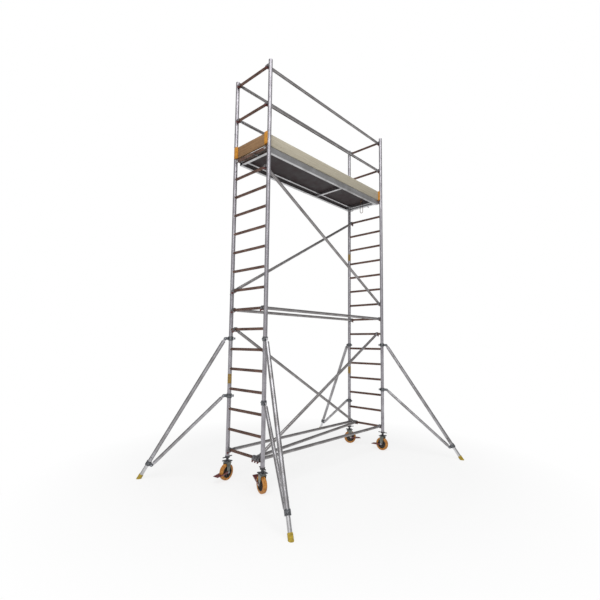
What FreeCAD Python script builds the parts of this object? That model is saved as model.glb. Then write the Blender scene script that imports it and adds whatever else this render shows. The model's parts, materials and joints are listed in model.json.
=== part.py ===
"""Mobile aluminium access tower: ladder frames, hook-on braces, trapdoor platform, castors and outriggers."""
import FreeCAD
import Part
import math
import os

V = FreeCAD.Vector
X_AXIS = V(1, 0, 0)
Y_AXIS = V(0, 1, 0)
Z_AXIS = V(0, 0, 1)

# All sizes are in millimetres. X runs along the platform, Y across it, Z up from the floor.
# Front is -Y, left is -X.

# Ladder frames
tower_length = 2567.0          # between the stile axes of the two ends
tower_width = 665.2            # between the two stiles of one frame
stile_radius = 25.4
stile_wall = 2.0
rung_radius = 17.5
rung_wall = 2.0
rung_pitch = 250.0
rungs_per_frame = 8
frame_count = 2                # frames stacked at each end below the guard frame
first_rung_rise = 80.0         # lowest rung above the underside of its frame
guard_frame_height = 965.0
guard_rung_rises = (400.0, 900.0)

# Joints between stacked frames
spigot_wall = 3.0
spigot_clearance = 0.3
spigot_below = 100.0
spigot_above = 235.0
pin_radius = 4.0
pin_clearance = 0.2
pin_heights = (30.0, 210.0)    # above the joint
pin_head_radius = 8.0
pin_head_height = 3.0
pin_stand_out = 4.0

# Braces and guard rails
brace_radius = 20.0
brace_wall = 1.8
brace_gap = 34.0               # claw's body to the cut end of the tube
claw_wall = 10.5
claw_clearance = 0.3
claw_width = 36.0
claw_jaw_below = 4.5           # below the rung's underside
claw_jaw_wall = 6.0            # outward of the claw's body
neck_length = 90.0
lane_gap = 4.6                 # stile to the first claw
lane_spacing = 10.0            # between claws side by side
latch_width = 18.0
latch_height = 10.0
latch_reach = 8.0
latch_gap = 0.3
trigger_reach = 8.0            # beyond the claw
trigger_height = 20.0

# Platform
deck_rise = 35.0               # deck's top above the axis of the top rung
beam_height = 85.0
beam_width = 40.0
beam_wall = 2.5
beam_stile_gap = 9.6
beam_box_height = 58.0
beam_lip_inset = 6.0
beam_lip_width = 4.0
beam_ledge_reach = 52.0
beam_ledge_thickness = 3.0
deck_thickness = 12.0
deck_gap = 0.3
beam_end_setback = 45.5        # stile axis plane to the end of the side beams
cross_width = 40.0
end_beam_height = 60.0
batten_height = 40.0
hook_wall = 9.5
hook_width = 36.0
hook_neck_height = 30.0

# Trapdoor
hatch_hinge_x = 336.5
hatch_margin = 71.5            # free edge to the end of the beams
hatch_seat = 12.4              # width resting on each beam's ledge
hatch_gap = 2.0
hatch_hinge_radius = 5.0
hatch_hinge_length = 70.0
hatch_hinge_margin = 88.0      # hinge's middle, in from the trapdoor's side
hatch_hinge_leaf = 30.0
hatch_leaf_thickness = 2.0
hatch_knuckle = 24.0
hatch_knuckle_gap = 0.4
hatch_pin_radius = 2.5
hatch_pin_clearance = 0.1
ring_margin = 100.0            # pull ring, in from the trapdoor's free edge
ring_y = -83.0
ring_wire_radius = 4.0
ring_width = 60.0
ring_drop = 205.0
ring_eye_width = 12.0
ring_eye_radius = 10.0
ring_eye_bore = 5.3

# Wind locks under the end beams
wind_lock_y = -110.0
wind_lock_throw = 40.0
wind_lock_plate = 4.0
wind_lock_finger_radius = 6.0
wind_lock_boss_radius = 11.0
wind_lock_gap = 0.3
wind_lock_pin_radius = 4.0

# Toe boards
toe_height = 150.0
toe_thickness = 24.0
toe_stile_gap = 5.2
clip_height = 155.0
clip_drop = 2.0
clip_wall = 5.6                # outward of the stile
clip_grip = 15.7               # along the long board
clip_start = 2.0
clip_inner_wall = 3.4          # inside the long board
clip_corner_radius = 5.0
clip_stile_clearance = 0.3
clip_slot_clearance = 0.3
end_board_gap = 14.9           # stile to the end board's tip
long_board_gap = 6.3           # end board's face to the long board's tip

# Castors
wheel_radius = 100.0
tyre_width = 48.0
tyre_edge_radius = 9.0
tyre_depth = 30.0
hub_width = 40.0
hub_rim = 7.0
hub_web = 10.0
hub_boss_radius = 21.0
hub_end_gap = 1.0
hub_fit = 0.2
axle_radius = 6.0
axle_clearance = 0.1
axle_hole_clearance = 0.05     # in the fork's cheeks
axle_head_radius = 10.0
axle_head_height = 6.0
castor_trail = 12.0            # axle ahead of the swivel axis
cheek_clearance = 6.0          # tyre's side to the fork's cheek
cheek_thickness = 5.0
cheek_eye_radius = 17.0
crown_length = 84.0
crown_clearance = 6.0          # above the tyre
crown_thickness = 6.0
race_radius = 36.0
race_height = 8.0
swivel_gap = 0.3
cheek_inset = 6.0              # cheek's top edge, in from the crown's ends
kingpin_radius = 8.0
kingpin_clearance = 0.1
kingpin_head_radius = 13.0
kingpin_head_height = 3.0
top_race_height = 6.0
top_plate_size = 104.0
top_plate_thickness = 5.0
top_plate_corner = 18.0
pedal_arm_thickness = 4.0
pedal_arm_gap = 0.6
pedal_eye_radius = 14.0
pedal_clearance = 6.0          # beyond the tyre
pedal_tread_length = 74.0
pedal_tread_thickness = 6.0

# Levelling spindle and its wing nut
spindle_radius = 17.5
spindle_length = 420.0
thread_shown = 36.4            # between the top plate and the wing nut
nut_radius = 30.0
nut_height = 22.0
nut_gap = 0.3
nut_clearance = 0.1
wing_span = 150.0
wing_width = 16.0
wing_thickness = 9.0

# Outriggers
leg_tube_radius = 25.0
leg_tube_wall = 2.7
leg_clearance = 0.3
leg_wall = 2.2
leg_inside = 600.0
leg_end_gap = 20.0
strut_radius = 21.5
strut_wall = 2.0
coupler_clearance = 0.3
coupler_wall = 7.6
coupler_height = 54.0
casting_root = 2.0             # how far ears run into the ring they are cast on
coupler_bolt_radius = 6.0
coupler_bolt_gap = 11.0        # coupler's back to the bolt
coupler_bolt_length = 58.0
pivot_gap = 37.0               # coupler's front to the pivot pins
pivot_radius = 6.0
pivot_clearance = 0.2
pivot_head_radius = 9.6
tongue_thickness = 10.0
tongue_width = 36.0
tongue_length = 52.0
ear_thickness = 6.0
ear_gap = 0.3
collar_height_z = 190.0        # collar's middle above the floor
collar_length = 52.0
collar_wall = 6.0
collar_pivot_gap = 25.0        # long tube to the strut's pivot
foot_radius = 27.5
foot_length = 62.0
foot_clearance = 0.2

# name, side along X, side along Y, outrigger yaw, foot reach, upper and lower couplers as (rung, rise
# above it), castor heading (the way the brake pedal points) and the pedal's resting angle
CORNERS = (
    ("front_left", -1, -1, -118.2, 1119.0, (6, 128.0), (3, 140.0), 75.0, 18.0),
    ("back_left", -1, 1, 132.2, 1100.0, (6, 134.0), (3, 160.0), 188.0, -8.0),
    ("front_right", 1, -1, -72.2, 1190.0, (6, 66.0), (3, 92.0), 92.0, -8.0),
    ("back_right", 1, 1, 66.5, 1150.0, (6, 60.0), (2, 97.0), -37.0, -8.0),
)

# Worked out from the sizes above
half_length = tower_length / 2
half_width = tower_width / 2
stile_bore = stile_radius - stile_wall

hub_radius = wheel_radius - tyre_depth
cheek_gap = tyre_width + 2 * cheek_clearance
hub_boss_length = cheek_gap - 2 * hub_end_gap
pedal_tread_start = wheel_radius + pedal_clearance
pedal_tread_end = pedal_tread_start + pedal_tread_length
crown_z = 2 * wheel_radius + crown_clearance
top_race_z = crown_z + crown_thickness + race_height + swivel_gap
top_plate_z = top_race_z + top_race_height
spindle_z = top_plate_z + top_plate_thickness

frame_base_z = spindle_z + thread_shown + nut_height + nut_gap
frame_height = rungs_per_frame * rung_pitch
frame_top_z = frame_base_z + frame_count * frame_height
top_rung_z = frame_top_z - frame_height + first_rung_rise + (rungs_per_frame - 1) * rung_pitch

claw_outer_radius = rung_radius + claw_wall
claw_jaw_depth = rung_radius + claw_jaw_below
claw_jaw_reach = claw_outer_radius + claw_jaw_wall
brace_setback = claw_outer_radius + brace_gap
lane_first = stile_radius + lane_gap + claw_width / 2
lane_pitch = claw_width + lane_spacing

deck_top_z = top_rung_z + deck_rise
deck_bottom_z = deck_top_z - deck_thickness
beam_bottom_z = deck_top_z - beam_height
beam_end_x = half_length - beam_end_setback
beam_outer_y = half_width - stile_radius - beam_stile_gap
hook_outer_radius = rung_radius + hook_wall
hatch_half_width = beam_outer_y - beam_ledge_reach + hatch_seat
hatch_length = beam_end_x - hatch_margin - hatch_hinge_x
hatch_hinge_offset = hatch_half_width - hatch_hinge_margin
ring_x = hatch_hinge_x + hatch_length - ring_margin
toe_outer_y = half_width - stile_radius - toe_stile_gap
end_board_offset = stile_radius + end_board_gap
long_board_offset = toe_thickness / 2 + long_board_gap
clip_outer = stile_radius + clip_wall
clip_inner = long_board_offset + clip_grip
clip_reach = half_width - toe_outer_y + toe_thickness + clip_inner_wall

leg_radius = leg_tube_radius - leg_tube_wall - leg_clearance
coupler_outer_radius = stile_radius + coupler_wall
coupler_bolt_offset = coupler_outer_radius + coupler_bolt_gap
pivot_offset = coupler_outer_radius + pivot_gap
collar_pivot_offset = leg_tube_radius + collar_pivot_gap


def tube(radius, wall, start, direction, length):
    """Round tube from start along direction."""
    outer = Part.makeCylinder(radius, length, start, direction)
    return outer.cut(Part.makeCylinder(radius - wall, length, start, direction))


def rod(radius, start, direction, length):
    """Round bar from start along direction."""
    return Part.makeCylinder(radius, length, start, direction)


def block(x0, x1, y0, y1, z0, z1):
    """Box between two corners."""
    return Part.makeBox(x1 - x0, y1 - y0, z1 - z0, V(x0, y0, z0))


def prism(points, thickness):
    """Closed outline of points, extruded along the vector thickness."""
    wire = Part.makePolygon(points + [points[0]])
    return Part.Face(wire).extrude(thickness)


def moved(shape, x=0.0, y=0.0, z=0.0):
    """Copy of a shape, shifted."""
    copy = shape.copy()
    copy.translate(V(x, y, z))
    return copy


def turned(shape, centre, axis, angle):
    """Copy of a shape, turned about an axis through centre."""
    copy = shape.copy()
    copy.rotate(centre, axis, angle)
    return copy


def across(shape):
    """Copy of a shape made for the front left corner, mirrored to all four corners."""
    back = shape.mirror(V(0, 0, 0), Y_AXIS)
    return [shape, back, shape.mirror(V(0, 0, 0), X_AXIS), back.mirror(V(0, 0, 0), X_AXIS)]


# ---------------------------------------------------------------- ladder frames
def joint_heights():
    """Heights at which one frame stands on another."""
    return [frame_base_z + frame_height * (i + 1) for i in range(frame_count)]


def rung_heights():
    """Heights of every rung, from the lowest to the top guard rung."""
    heights = []
    for frame in range(frame_count):
        foot = frame_base_z + frame * frame_height + first_rung_rise
        heights += [foot + i * rung_pitch for i in range(rungs_per_frame)]
    return heights + [frame_top_z + rise for rise in guard_rung_rises]


def pin_holes(radius):
    """Bars through the front left stile where the joint pins go."""
    start = -half_length - stile_radius - pin_stand_out
    length = 2 * (stile_radius + pin_stand_out)
    return [rod(radius, V(start, -half_width, joint + rise), X_AXIS, length)
            for joint in joint_heights() for rise in pin_heights]


def stiles():
    """Upright tubes: one per frame and side, stacked end to end."""
    holes = pin_holes(pin_radius + pin_clearance)
    solids = []
    base = frame_base_z
    for height in [frame_height] * frame_count + [guard_frame_height]:
        stile = tube(stile_radius, stile_wall, V(-half_length, -half_width, base), Z_AXIS, height)
        near = [hole for hole in holes if base < hole.BoundBox.ZMin < base + height]
        solids += across(stile.cut(near) if near else stile)
        base += height
    return solids


def rungs():
    """Rung tubes, coped to the stiles they are welded to."""
    start = V(-half_length, -half_width, 0)
    rung = tube(rung_radius, rung_wall, start, Y_AXIS, tower_width)
    for side in (-1, 1):
        foot = V(-half_length, side * half_width, -2 * stile_radius)
        rung = rung.cut(rod(stile_radius, foot, Z_AXIS, 4 * stile_radius))
    return [moved(rung, x, 0, z) for x in (0, tower_length) for z in rung_heights()]


def spigots():
    """Sleeves inside the stiles that join one frame to the next."""
    radius = stile_bore - spigot_clearance
    holes = pin_holes(pin_radius + pin_clearance)
    solids = []
    for joint in joint_heights():
        foot = V(-half_length, -half_width, joint - spigot_below)
        sleeve = tube(radius, spigot_wall, foot, Z_AXIS, spigot_below + spigot_above)
        near = [hole for hole in holes if joint < hole.BoundBox.ZMin < joint + spigot_above]
        solids += across(sleeve.cut(near))
    return solids


def joint_pins():
    """Headed pins through stile and spigot, heads outwards."""
    solids = []
    for pin in pin_holes(pin_radius):
        middle = pin.BoundBox.Center
        head_x = -half_length - stile_radius - pin_stand_out
        head = rod(pin_head_radius, V(head_x, middle.y, middle.z), X_AXIS, pin_head_height)
        solids += across(pin.fuse(head))
    return solids


# ---------------------------------------------------------------- braces
def lane_y(lane):
    """Distance of a claw lane from the tower's middle plane."""
    return half_width - lane_first - (lane - 1) * lane_pitch


def brace_list():
    """Each brace as kind, left end (y, z) and right end (y, z)."""
    z = rung_heights()
    bottom, mid_low, mid, lower_top, upper_top = z[0], z[6], z[7], z[8], z[14]
    guards = z[-2:]
    straight = [("horizontal", (side * lane_y(1), level), (side * lane_y(1), level))
                for side in (-1, 1) for level in (bottom, mid, *guards)]
    return straight + [
        ("diagonal", (-lane_y(2), bottom), (-lane_y(2), mid_low)),
        ("diagonal", (lane_y(2), mid_low), (lane_y(2), bottom)),
        ("diagonal", (-lane_y(1), upper_top), (-lane_y(1), lower_top)),
        ("diagonal", (lane_y(1), lower_top), (lane_y(1), upper_top)),
        ("diagonal", (-lane_y(3), bottom), (lane_y(3), bottom)),
    ]


def brace_ends(brace):
    """Points on the two rung axes that a brace hooks over."""
    _, left, right = brace
    return V(-half_length, *left), V(half_length, *right)


def brace_tubes(kind):
    """Straight tubes of one kind of brace."""
    solids = []
    for brace in brace_list():
        if brace[0] == kind:
            start, end = brace_ends(brace)
            along = (end - start).normalize()
            length = start.distanceToPoint(end) - 2 * brace_setback
            solids.append(tube(brace_radius, brace_wall, start + along * brace_setback, along, length))
    return solids


def claw(along):
    """Cast hook at a brace's left end, about a rung on the Y axis; along points into the brace."""
    half = claw_width / 2
    hook = rod(claw_outer_radius, V(0, -half, 0), Y_AXIS, claw_width)
    neck = rod(brace_radius - brace_wall - claw_clearance, V(0, 0, 0), along, neck_length)
    jaw = block(-claw_jaw_reach, 0, -half, half, -claw_jaw_depth, 0)
    mouth_radius = rung_radius + claw_clearance
    body = hook.fuse([neck, jaw])
    body = body.cut(rod(mouth_radius, V(0, -claw_width, 0), Y_AXIS, 2 * claw_width))
    mouth = block(-mouth_radius, mouth_radius, -claw_width, claw_width, -2 * claw_outer_radius, 0)
    return body.cut(mouth)


def latch():
    """Sprung trigger that closes a claw's mouth under the rung."""
    half = latch_width / 2
    top = -claw_jaw_depth - latch_gap
    bar = block(-claw_jaw_reach, latch_reach, -half, half, top - latch_height, top)
    trigger = block(-claw_jaw_reach - trigger_reach, -claw_jaw_reach, -half, half, top - trigger_height, top)
    return bar.fuse(trigger)


def brace_fittings(make):
    """A claw or latch at both ends of every brace."""
    solids = []
    for brace in brace_list():
        start, end = brace_ends(brace)
        along = (end - start).normalize()
        left = make(along)
        right = make(V(along.x, -along.y, -along.z)).mirror(V(0, 0, 0), X_AXIS)
        solids += [moved(left, *start), moved(right, *end)]
    return solids


# ---------------------------------------------------------------- platform
def beam_outline():
    """Side beam's section as (inward from the outer face, height above the underside)."""
    deck_seat = beam_height - deck_thickness
    lip = beam_lip_inset + beam_lip_width
    return [(0, 0), (beam_width, 0), (beam_width, beam_box_height),
            (beam_ledge_reach, deck_seat - beam_ledge_thickness), (beam_ledge_reach, deck_seat), (lip, deck_seat), (lip, beam_height),
            (beam_lip_inset, beam_height), (beam_lip_inset, beam_box_height), (0, beam_box_height)]


def side_beams():
    """Extruded beams along both long edges, with a lip and a ledge for the deck."""
    points = [V(-beam_end_x, -beam_outer_y + a, beam_bottom_z + b) for a, b in beam_outline()]
    beam = prism(points, V(2 * beam_end_x, 0, 0))
    hollow = block(-beam_end_x, beam_end_x, -beam_outer_y + beam_wall,
                   -beam_outer_y + beam_width - beam_wall,
                   beam_bottom_z + beam_wall, beam_bottom_z + beam_box_height - beam_wall)
    beam = beam.cut(hollow)
    return [beam, beam.mirror(V(0, 0, 0), Y_AXIS)]


def cross_beam(x, height):
    """Hollow beam under the deck, coped to the side beams."""
    reach = beam_outer_y - beam_width
    low = deck_bottom_z - height
    outer = block(x - cross_width / 2, x + cross_width / 2, -reach, reach, low, deck_bottom_z)
    inner = block(x - cross_width / 2 + beam_wall, x + cross_width / 2 - beam_wall, -reach, reach,
                  low + beam_wall, deck_bottom_z - beam_wall)
    return outer.cut(inner).cut(side_beams())


def hinge_z():
    """Height of the trapdoor's hinge pins."""
    return deck_top_z + hatch_hinge_radius


def hinge_spots():
    """Middle of each trapdoor hinge, across the platform."""
    return (-hatch_hinge_offset, hatch_hinge_offset)


def hinge_leaf(side, y0, y1):
    """Hinge leaf with its knuckle; side is -1 on the deck and 1 on the trapdoor."""
    far = side * hatch_hinge_leaf
    x0, x1 = sorted((0, far))
    leaf = block(hatch_hinge_x + x0, hatch_hinge_x + x1, y0, y1, deck_top_z, deck_top_z + hatch_leaf_thickness)
    knuckle = rod(hatch_hinge_radius, V(hatch_hinge_x, y0, hinge_z()), Y_AXIS, y1 - y0)
    return leaf.fuse(knuckle)


def fixed_hinges():
    """Two butt hinges on the deck: outer knuckles joined by the pin."""
    solids = []
    half = hatch_hinge_length / 2
    for y in hinge_spots():
        leaf = hinge_leaf(-1, y - half, y + half)
        room = hatch_knuckle / 2 + hatch_knuckle_gap
        clear = block(hatch_hinge_x - hatch_hinge_radius - hatch_knuckle_gap, hatch_hinge_x + hatch_hinge_leaf,
                      y - room, y + room, deck_top_z, hinge_z() + hatch_hinge_radius)
        pin = rod(hatch_pin_radius, V(hatch_hinge_x, y - half, hinge_z()), Y_AXIS, hatch_hinge_length)
        solids.append(leaf.cut(clear).fuse(pin))
    return solids


def moving_hinges():
    """Trapdoor leaves with the middle knuckles, which turn on the pins."""
    solids = []
    for y in hinge_spots():
        leaf = hinge_leaf(1, y - hatch_knuckle / 2, y + hatch_knuckle / 2)
        bore = rod(hatch_pin_radius + hatch_pin_clearance, V(hatch_hinge_x, y - hatch_hinge_length, hinge_z()),
                   Y_AXIS, 2 * hatch_hinge_length)
        solids.append(leaf.cut(bore))
    return solids


def platform_hooks():
    """Cast hooks on the beam ends, seated over the top rungs."""
    mouth_radius = rung_radius + claw_clearance
    y0 = -beam_outer_y + (beam_width - hook_width) / 2
    centre = V(-half_length, y0, top_rung_z)
    hook = rod(hook_outer_radius, centre, Y_AXIS, hook_width)
    neck = block(-half_length, -beam_end_x, y0, y0 + hook_width,
                 top_rung_z - hook_neck_height / 2, top_rung_z + hook_neck_height / 2)
    body = hook.fuse(neck).cut(rod(mouth_radius, centre, Y_AXIS, hook_width))
    mouth = block(-half_length - mouth_radius, -half_length + mouth_radius, y0, y0 + hook_width,
                  top_rung_z - hook_outer_radius, top_rung_z)
    return across(body.cut(mouth))


def wind_lock_z():
    """Height of the wind lock's finger and pivot, just under the top rung."""
    return top_rung_z - rung_radius - wind_lock_gap - wind_lock_finger_radius


def wind_lock_pins():
    """Shouldered rivets on the end beams that the wind locks turn on."""
    solids = []
    for side in (-1, 1):
        face = V(side * beam_end_x, wind_lock_y, wind_lock_z())
        outward = V(side, 0, 0)
        shank = wind_lock_plate + 2 * wind_lock_gap
        pin = rod(wind_lock_pin_radius, face, outward, shank + pin_head_height)
        head = rod(2 * wind_lock_pin_radius, face + outward * shank, outward, pin_head_height)
        solids.append(pin.fuse(head))
    return solids


def wind_lock(side):
    """Swinging plate with a finger that reaches under the top rung."""
    start = V(side * (beam_end_x + wind_lock_gap), wind_lock_y, wind_lock_z())
    outward = V(side, 0, 0)
    tip = start + V(0, wind_lock_throw, 0)
    boss = rod(wind_lock_boss_radius, start, outward, wind_lock_plate)
    end = rod(wind_lock_boss_radius, tip, outward, wind_lock_plate)
    x0, x1 = sorted((start.x, start.x + side * wind_lock_plate))
    web = block(x0, x1, start.y, tip.y, start.z - wind_lock_boss_radius, start.z + wind_lock_boss_radius)
    reach = beam_end_setback + rung_radius + wind_lock_finger_radius
    finger = rod(wind_lock_finger_radius, tip, outward, reach)
    hole = rod(wind_lock_pin_radius + pin_clearance, start, outward, wind_lock_plate)
    return boss.fuse([end, web, finger]).cut(hole)


def platform_frame():
    """Side beams, end beams, the two battens beside the trapdoor, hooks, hinges and wind lock rivets."""
    end_x = beam_end_x - cross_width / 2
    battens = (hatch_hinge_x, hatch_hinge_x + hatch_length)
    beams = side_beams() + [cross_beam(x, end_beam_height) for x in (-end_x, end_x)]
    beams += [cross_beam(x, batten_height) for x in battens]
    return beams + platform_hooks() + fixed_hinges() + wind_lock_pins()


def deck_board():
    """Plywood deck between the lips of the side beams, with the trapdoor's opening."""
    reach = beam_outer_y - beam_lip_inset - beam_lip_width - deck_gap
    board = block(-beam_end_x, beam_end_x, -reach, reach, deck_bottom_z, deck_top_z)
    opening = block(hatch_hinge_x, hatch_hinge_x + hatch_length,
                    -hatch_half_width - hatch_gap, hatch_half_width + hatch_gap, deck_bottom_z, deck_top_z)
    return [board.cut(opening)]


def hatch_panel():
    """Plywood trapdoor, its two hinge leaves and the eye that carries the pull ring."""
    panel = block(hatch_hinge_x + hatch_gap, hatch_hinge_x + hatch_length - hatch_gap,
                  -hatch_half_width, hatch_half_width, deck_bottom_z + deck_gap, deck_top_z)
    half = ring_eye_width / 2
    eye = block(ring_x - ring_eye_radius, ring_x + ring_eye_radius, ring_y - half, ring_y + half,
                ring_z(), deck_bottom_z + deck_gap)
    eye = eye.fuse(rod(ring_eye_radius, V(ring_x, ring_y - half, ring_z()), Y_AXIS, ring_eye_width))
    bore = rod(ring_eye_bore, V(ring_x, ring_y - half, ring_z()), Y_AXIS, ring_eye_width)
    return [panel, eye.cut(bore)] + moving_hinges()


def ring_z():
    """Height of the pull ring's pivot, under the trapdoor."""
    return deck_bottom_z + deck_gap - ring_eye_radius


def hatch_ring():
    """Long oval pull ring, hanging in its eye."""
    bend = ring_width / 2 - ring_wire_radius
    top = V(ring_x, ring_y, ring_z() - bend)
    low = V(ring_x, ring_y, ring_z() - ring_drop + bend)
    upper = Part.makeTorus(bend, ring_wire_radius, top, X_AXIS)
    lower = Part.makeTorus(bend, ring_wire_radius, low, X_AXIS)
    half_box = ring_width
    upper = upper.cut(block(ring_x - half_box, ring_x + half_box, ring_y - half_box, ring_y + half_box,
                            top.z - half_box, top.z))
    lower = lower.cut(block(ring_x - half_box, ring_x + half_box, ring_y - half_box, ring_y + half_box,
                            low.z, low.z + half_box))
    sides = [rod(ring_wire_radius, V(ring_x, ring_y + side * bend, low.z), Z_AXIS, top.z - low.z)
             for side in (-1, 1)]
    return [upper.fuse([lower] + sides)]


# ---------------------------------------------------------------- toe boards
def toe_boards():
    """Long boards on the deck's edges and short ones between the stiles."""
    long_reach = half_length - long_board_offset
    short_reach = half_width - end_board_offset
    top = deck_top_z + toe_height
    long_board = block(-long_reach, long_reach, -toe_outer_y, toe_thickness - toe_outer_y, deck_top_z, top)
    short_board = block(-half_length - toe_thickness / 2, toe_thickness / 2 - half_length,
                        -short_reach, short_reach, deck_top_z, top)
    return [long_board, long_board.mirror(V(0, 0, 0), Y_AXIS),
            short_board, short_board.mirror(V(0, 0, 0), X_AXIS)]


def toe_board_clips():
    """Moulded corner clips, snapped on the stiles, that hold the ends of the boards."""
    low = deck_top_z - clip_drop
    body = block(-half_length - clip_outer, clip_inner - half_length,
                 clip_start - half_width, clip_reach - half_width, low, low + clip_height)
    edges = [edge for edge in body.Edges if edge.BoundBox.ZLength > clip_height / 2]
    body = body.makeFillet(clip_corner_radius, edges)
    stile = rod(stile_radius + clip_stile_clearance, V(-half_length, -half_width, low), Z_AXIS, clip_height)
    gap = clip_slot_clearance
    long_slot = block(-half_length + long_board_offset - gap, clip_inner - half_length,
                      -toe_outer_y - gap, toe_thickness - toe_outer_y + gap, deck_top_z, low + clip_height)
    short_slot = block(-half_length - toe_thickness / 2 - gap, toe_thickness / 2 + gap - half_length,
                       end_board_offset - gap - half_width, clip_reach - half_width,
                       deck_top_z, low + clip_height)
    return across(body.cut([stile, long_slot, short_slot]))


# ---------------------------------------------------------------- castors
def castor_tyre():
    """Solid tyre with rounded shoulders."""
    half = tyre_width / 2
    tyre = rod(wheel_radius, V(0, -half, 0), Y_AXIS, tyre_width)
    tyre = tyre.makeFillet(tyre_edge_radius, [e for e in tyre.Edges if e.Closed and e.Length > wheel_radius])
    return [tyre.cut(rod(hub_radius + hub_fit, V(0, -half, 0), Y_AXIS, tyre_width))]


def castor_hub():
    """Wheel centre: rim, web and boss, bored for the axle."""
    half = hub_width / 2
    rim = tube(hub_radius, hub_rim, V(0, -half, 0), Y_AXIS, hub_width)
    web = rod(hub_radius - hub_rim / 2, V(0, -hub_web / 2, 0), Y_AXIS, hub_web)
    boss = rod(hub_boss_radius, V(0, -hub_boss_length / 2, 0), Y_AXIS, hub_boss_length)
    bore = rod(axle_radius + axle_clearance, V(0, -hub_boss_length, 0), Y_AXIS, 2 * hub_boss_length)
    return [rim.fuse([web, boss]).cut(bore)]


def arm_outer_y():
    """Outer face of the brake pedal's arms, from the wheel's middle plane."""
    return cheek_gap / 2 + cheek_thickness + pedal_arm_gap + pedal_arm_thickness


def castor_fork():
    """Pressed fork with its bearing race, and the axle bolt through both cheeks."""
    inner = cheek_gap / 2
    outer = inner + cheek_thickness
    half = crown_length / 2
    crown = block(-half, half, -outer, outer, crown_z, crown_z + crown_thickness)
    race = rod(race_radius, V(0, 0, crown_z + crown_thickness), Z_AXIS, race_height)
    eye_x = castor_trail
    cheek_top = crown_z + crown_thickness / 2
    outline = [V(cheek_inset - half, -outer, cheek_top), V(half - cheek_inset, -outer, cheek_top),
               V(eye_x + cheek_eye_radius, -outer, wheel_radius),
               V(eye_x - cheek_eye_radius, -outer, wheel_radius)]
    cheek = prism(outline, V(0, cheek_thickness, 0))
    eye = rod(cheek_eye_radius, V(eye_x, -outer, wheel_radius), Y_AXIS, cheek_thickness)
    cheek = cheek.fuse(eye)
    fork = crown.fuse([race, cheek, moved(cheek, 0, 2 * inner + cheek_thickness, 0)])
    kingpin_bore = rod(kingpin_radius + kingpin_clearance, V(0, 0, 0), Z_AXIS, 2 * crown_z)
    axle_bore = rod(axle_radius + axle_hole_clearance, V(eye_x, -outer, wheel_radius), Y_AXIS, 2 * outer)
    fork = fork.cut([kingpin_bore, axle_bore])
    end = arm_outer_y() + pedal_arm_gap
    axle = rod(axle_radius, V(eye_x, -end, wheel_radius), Y_AXIS, 2 * end)
    head = rod(axle_head_radius, V(eye_x, end, wheel_radius), Y_AXIS, axle_head_height)
    nut = rod(axle_head_radius, V(eye_x, -end - axle_head_height, wheel_radius), Y_AXIS, axle_head_height)
    return [fork, axle.fuse([head, nut])]


def castor_pedal():
    """Brake pedal: two arms on the axle, joined by a tread beyond the tyre."""
    outer = arm_outer_y()
    inner = outer - pedal_arm_thickness
    eye_r = pedal_eye_radius
    outline = [V(0, -outer, -eye_r), V(pedal_tread_start, -outer, -eye_r / 2),
               V(pedal_tread_start, -outer, eye_r / 2), V(0, -outer, eye_r)]
    arm = prism(outline, V(0, pedal_arm_thickness, 0))
    arm = arm.fuse(rod(eye_r, V(0, -outer, 0), Y_AXIS, pedal_arm_thickness))
    thick = pedal_tread_thickness
    tread_line = [V(pedal_tread_start, -outer, -eye_r / 2), V(pedal_tread_end, -outer, thick / 2),
                  V(pedal_tread_end, -outer, 1.5 * thick), V(pedal_tread_start, -outer, eye_r / 2)]
    tread = prism(tread_line, V(0, 2 * outer, 0))
    pedal = arm.fuse([moved(arm, 0, outer + inner, 0), tread])
    bore = rod(axle_radius + axle_clearance, V(0, -2 * outer, 0), Y_AXIS, 4 * outer)
    return [pedal.cut(bore)]


def castor_spindle():
    """Levelling spindle with the castor's top plate and kingpin."""
    rod_part = rod(spindle_radius, V(0, 0, top_race_z), Z_AXIS, spindle_z + spindle_length - top_race_z)
    half = top_plate_size / 2
    plate = block(-half, half, -half, half, top_plate_z, spindle_z)
    corners = [e for e in plate.Edges if e.BoundBox.ZLength > top_plate_thickness / 2]
    plate = plate.makeFillet(top_plate_corner, corners)
    race = rod(race_radius, V(0, 0, top_race_z), Z_AXIS, top_race_height)
    pin_foot = crown_z - swivel_gap - kingpin_head_height
    kingpin = rod(kingpin_radius, V(0, 0, pin_foot), Z_AXIS, top_race_z - pin_foot)
    head = rod(kingpin_head_radius, V(0, 0, pin_foot), Z_AXIS, kingpin_head_height)
    return [rod_part.fuse([plate, race, kingpin, head])]


def levelling_nut():
    """Wing nut on the spindle, carrying the stile."""
    top = frame_base_z - nut_gap
    body = rod(nut_radius, V(0, 0, top - nut_height), Z_AXIS, nut_height)
    middle = top - nut_height / 2
    wings = block(-wing_span / 2, wing_span / 2, -wing_width / 2, wing_width / 2,
                  middle - wing_thickness / 2, middle + wing_thickness / 2)
    bore = rod(spindle_radius + nut_clearance, V(0, 0, 0), Z_AXIS, 2 * top)
    return [body.fuse(wings).cut(bore)]


def placed_castor(solids, corner, lift=None):
    """Castor solids turned to their heading and set under a stile; lift tilts a pedal."""
    _, side_x, side_y, _, _, _, _, heading, _ = corner
    result = []
    for solid in solids:
        if lift is not None:
            solid = moved(turned(solid, V(0, 0, 0), Y_AXIS, -lift), castor_trail, 0, wheel_radius)
        solid = turned(solid, V(0, 0, 0), Z_AXIS, heading)
        result.append(moved(solid, side_x * half_length, side_y * half_width))
    return result


# ---------------------------------------------------------------- outriggers
def coupler_z(rung, rise):
    """Height of a coupler, given the rung below it, counted from one, and its rise above that rung."""
    return rung_heights()[rung - 1] + rise


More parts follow.
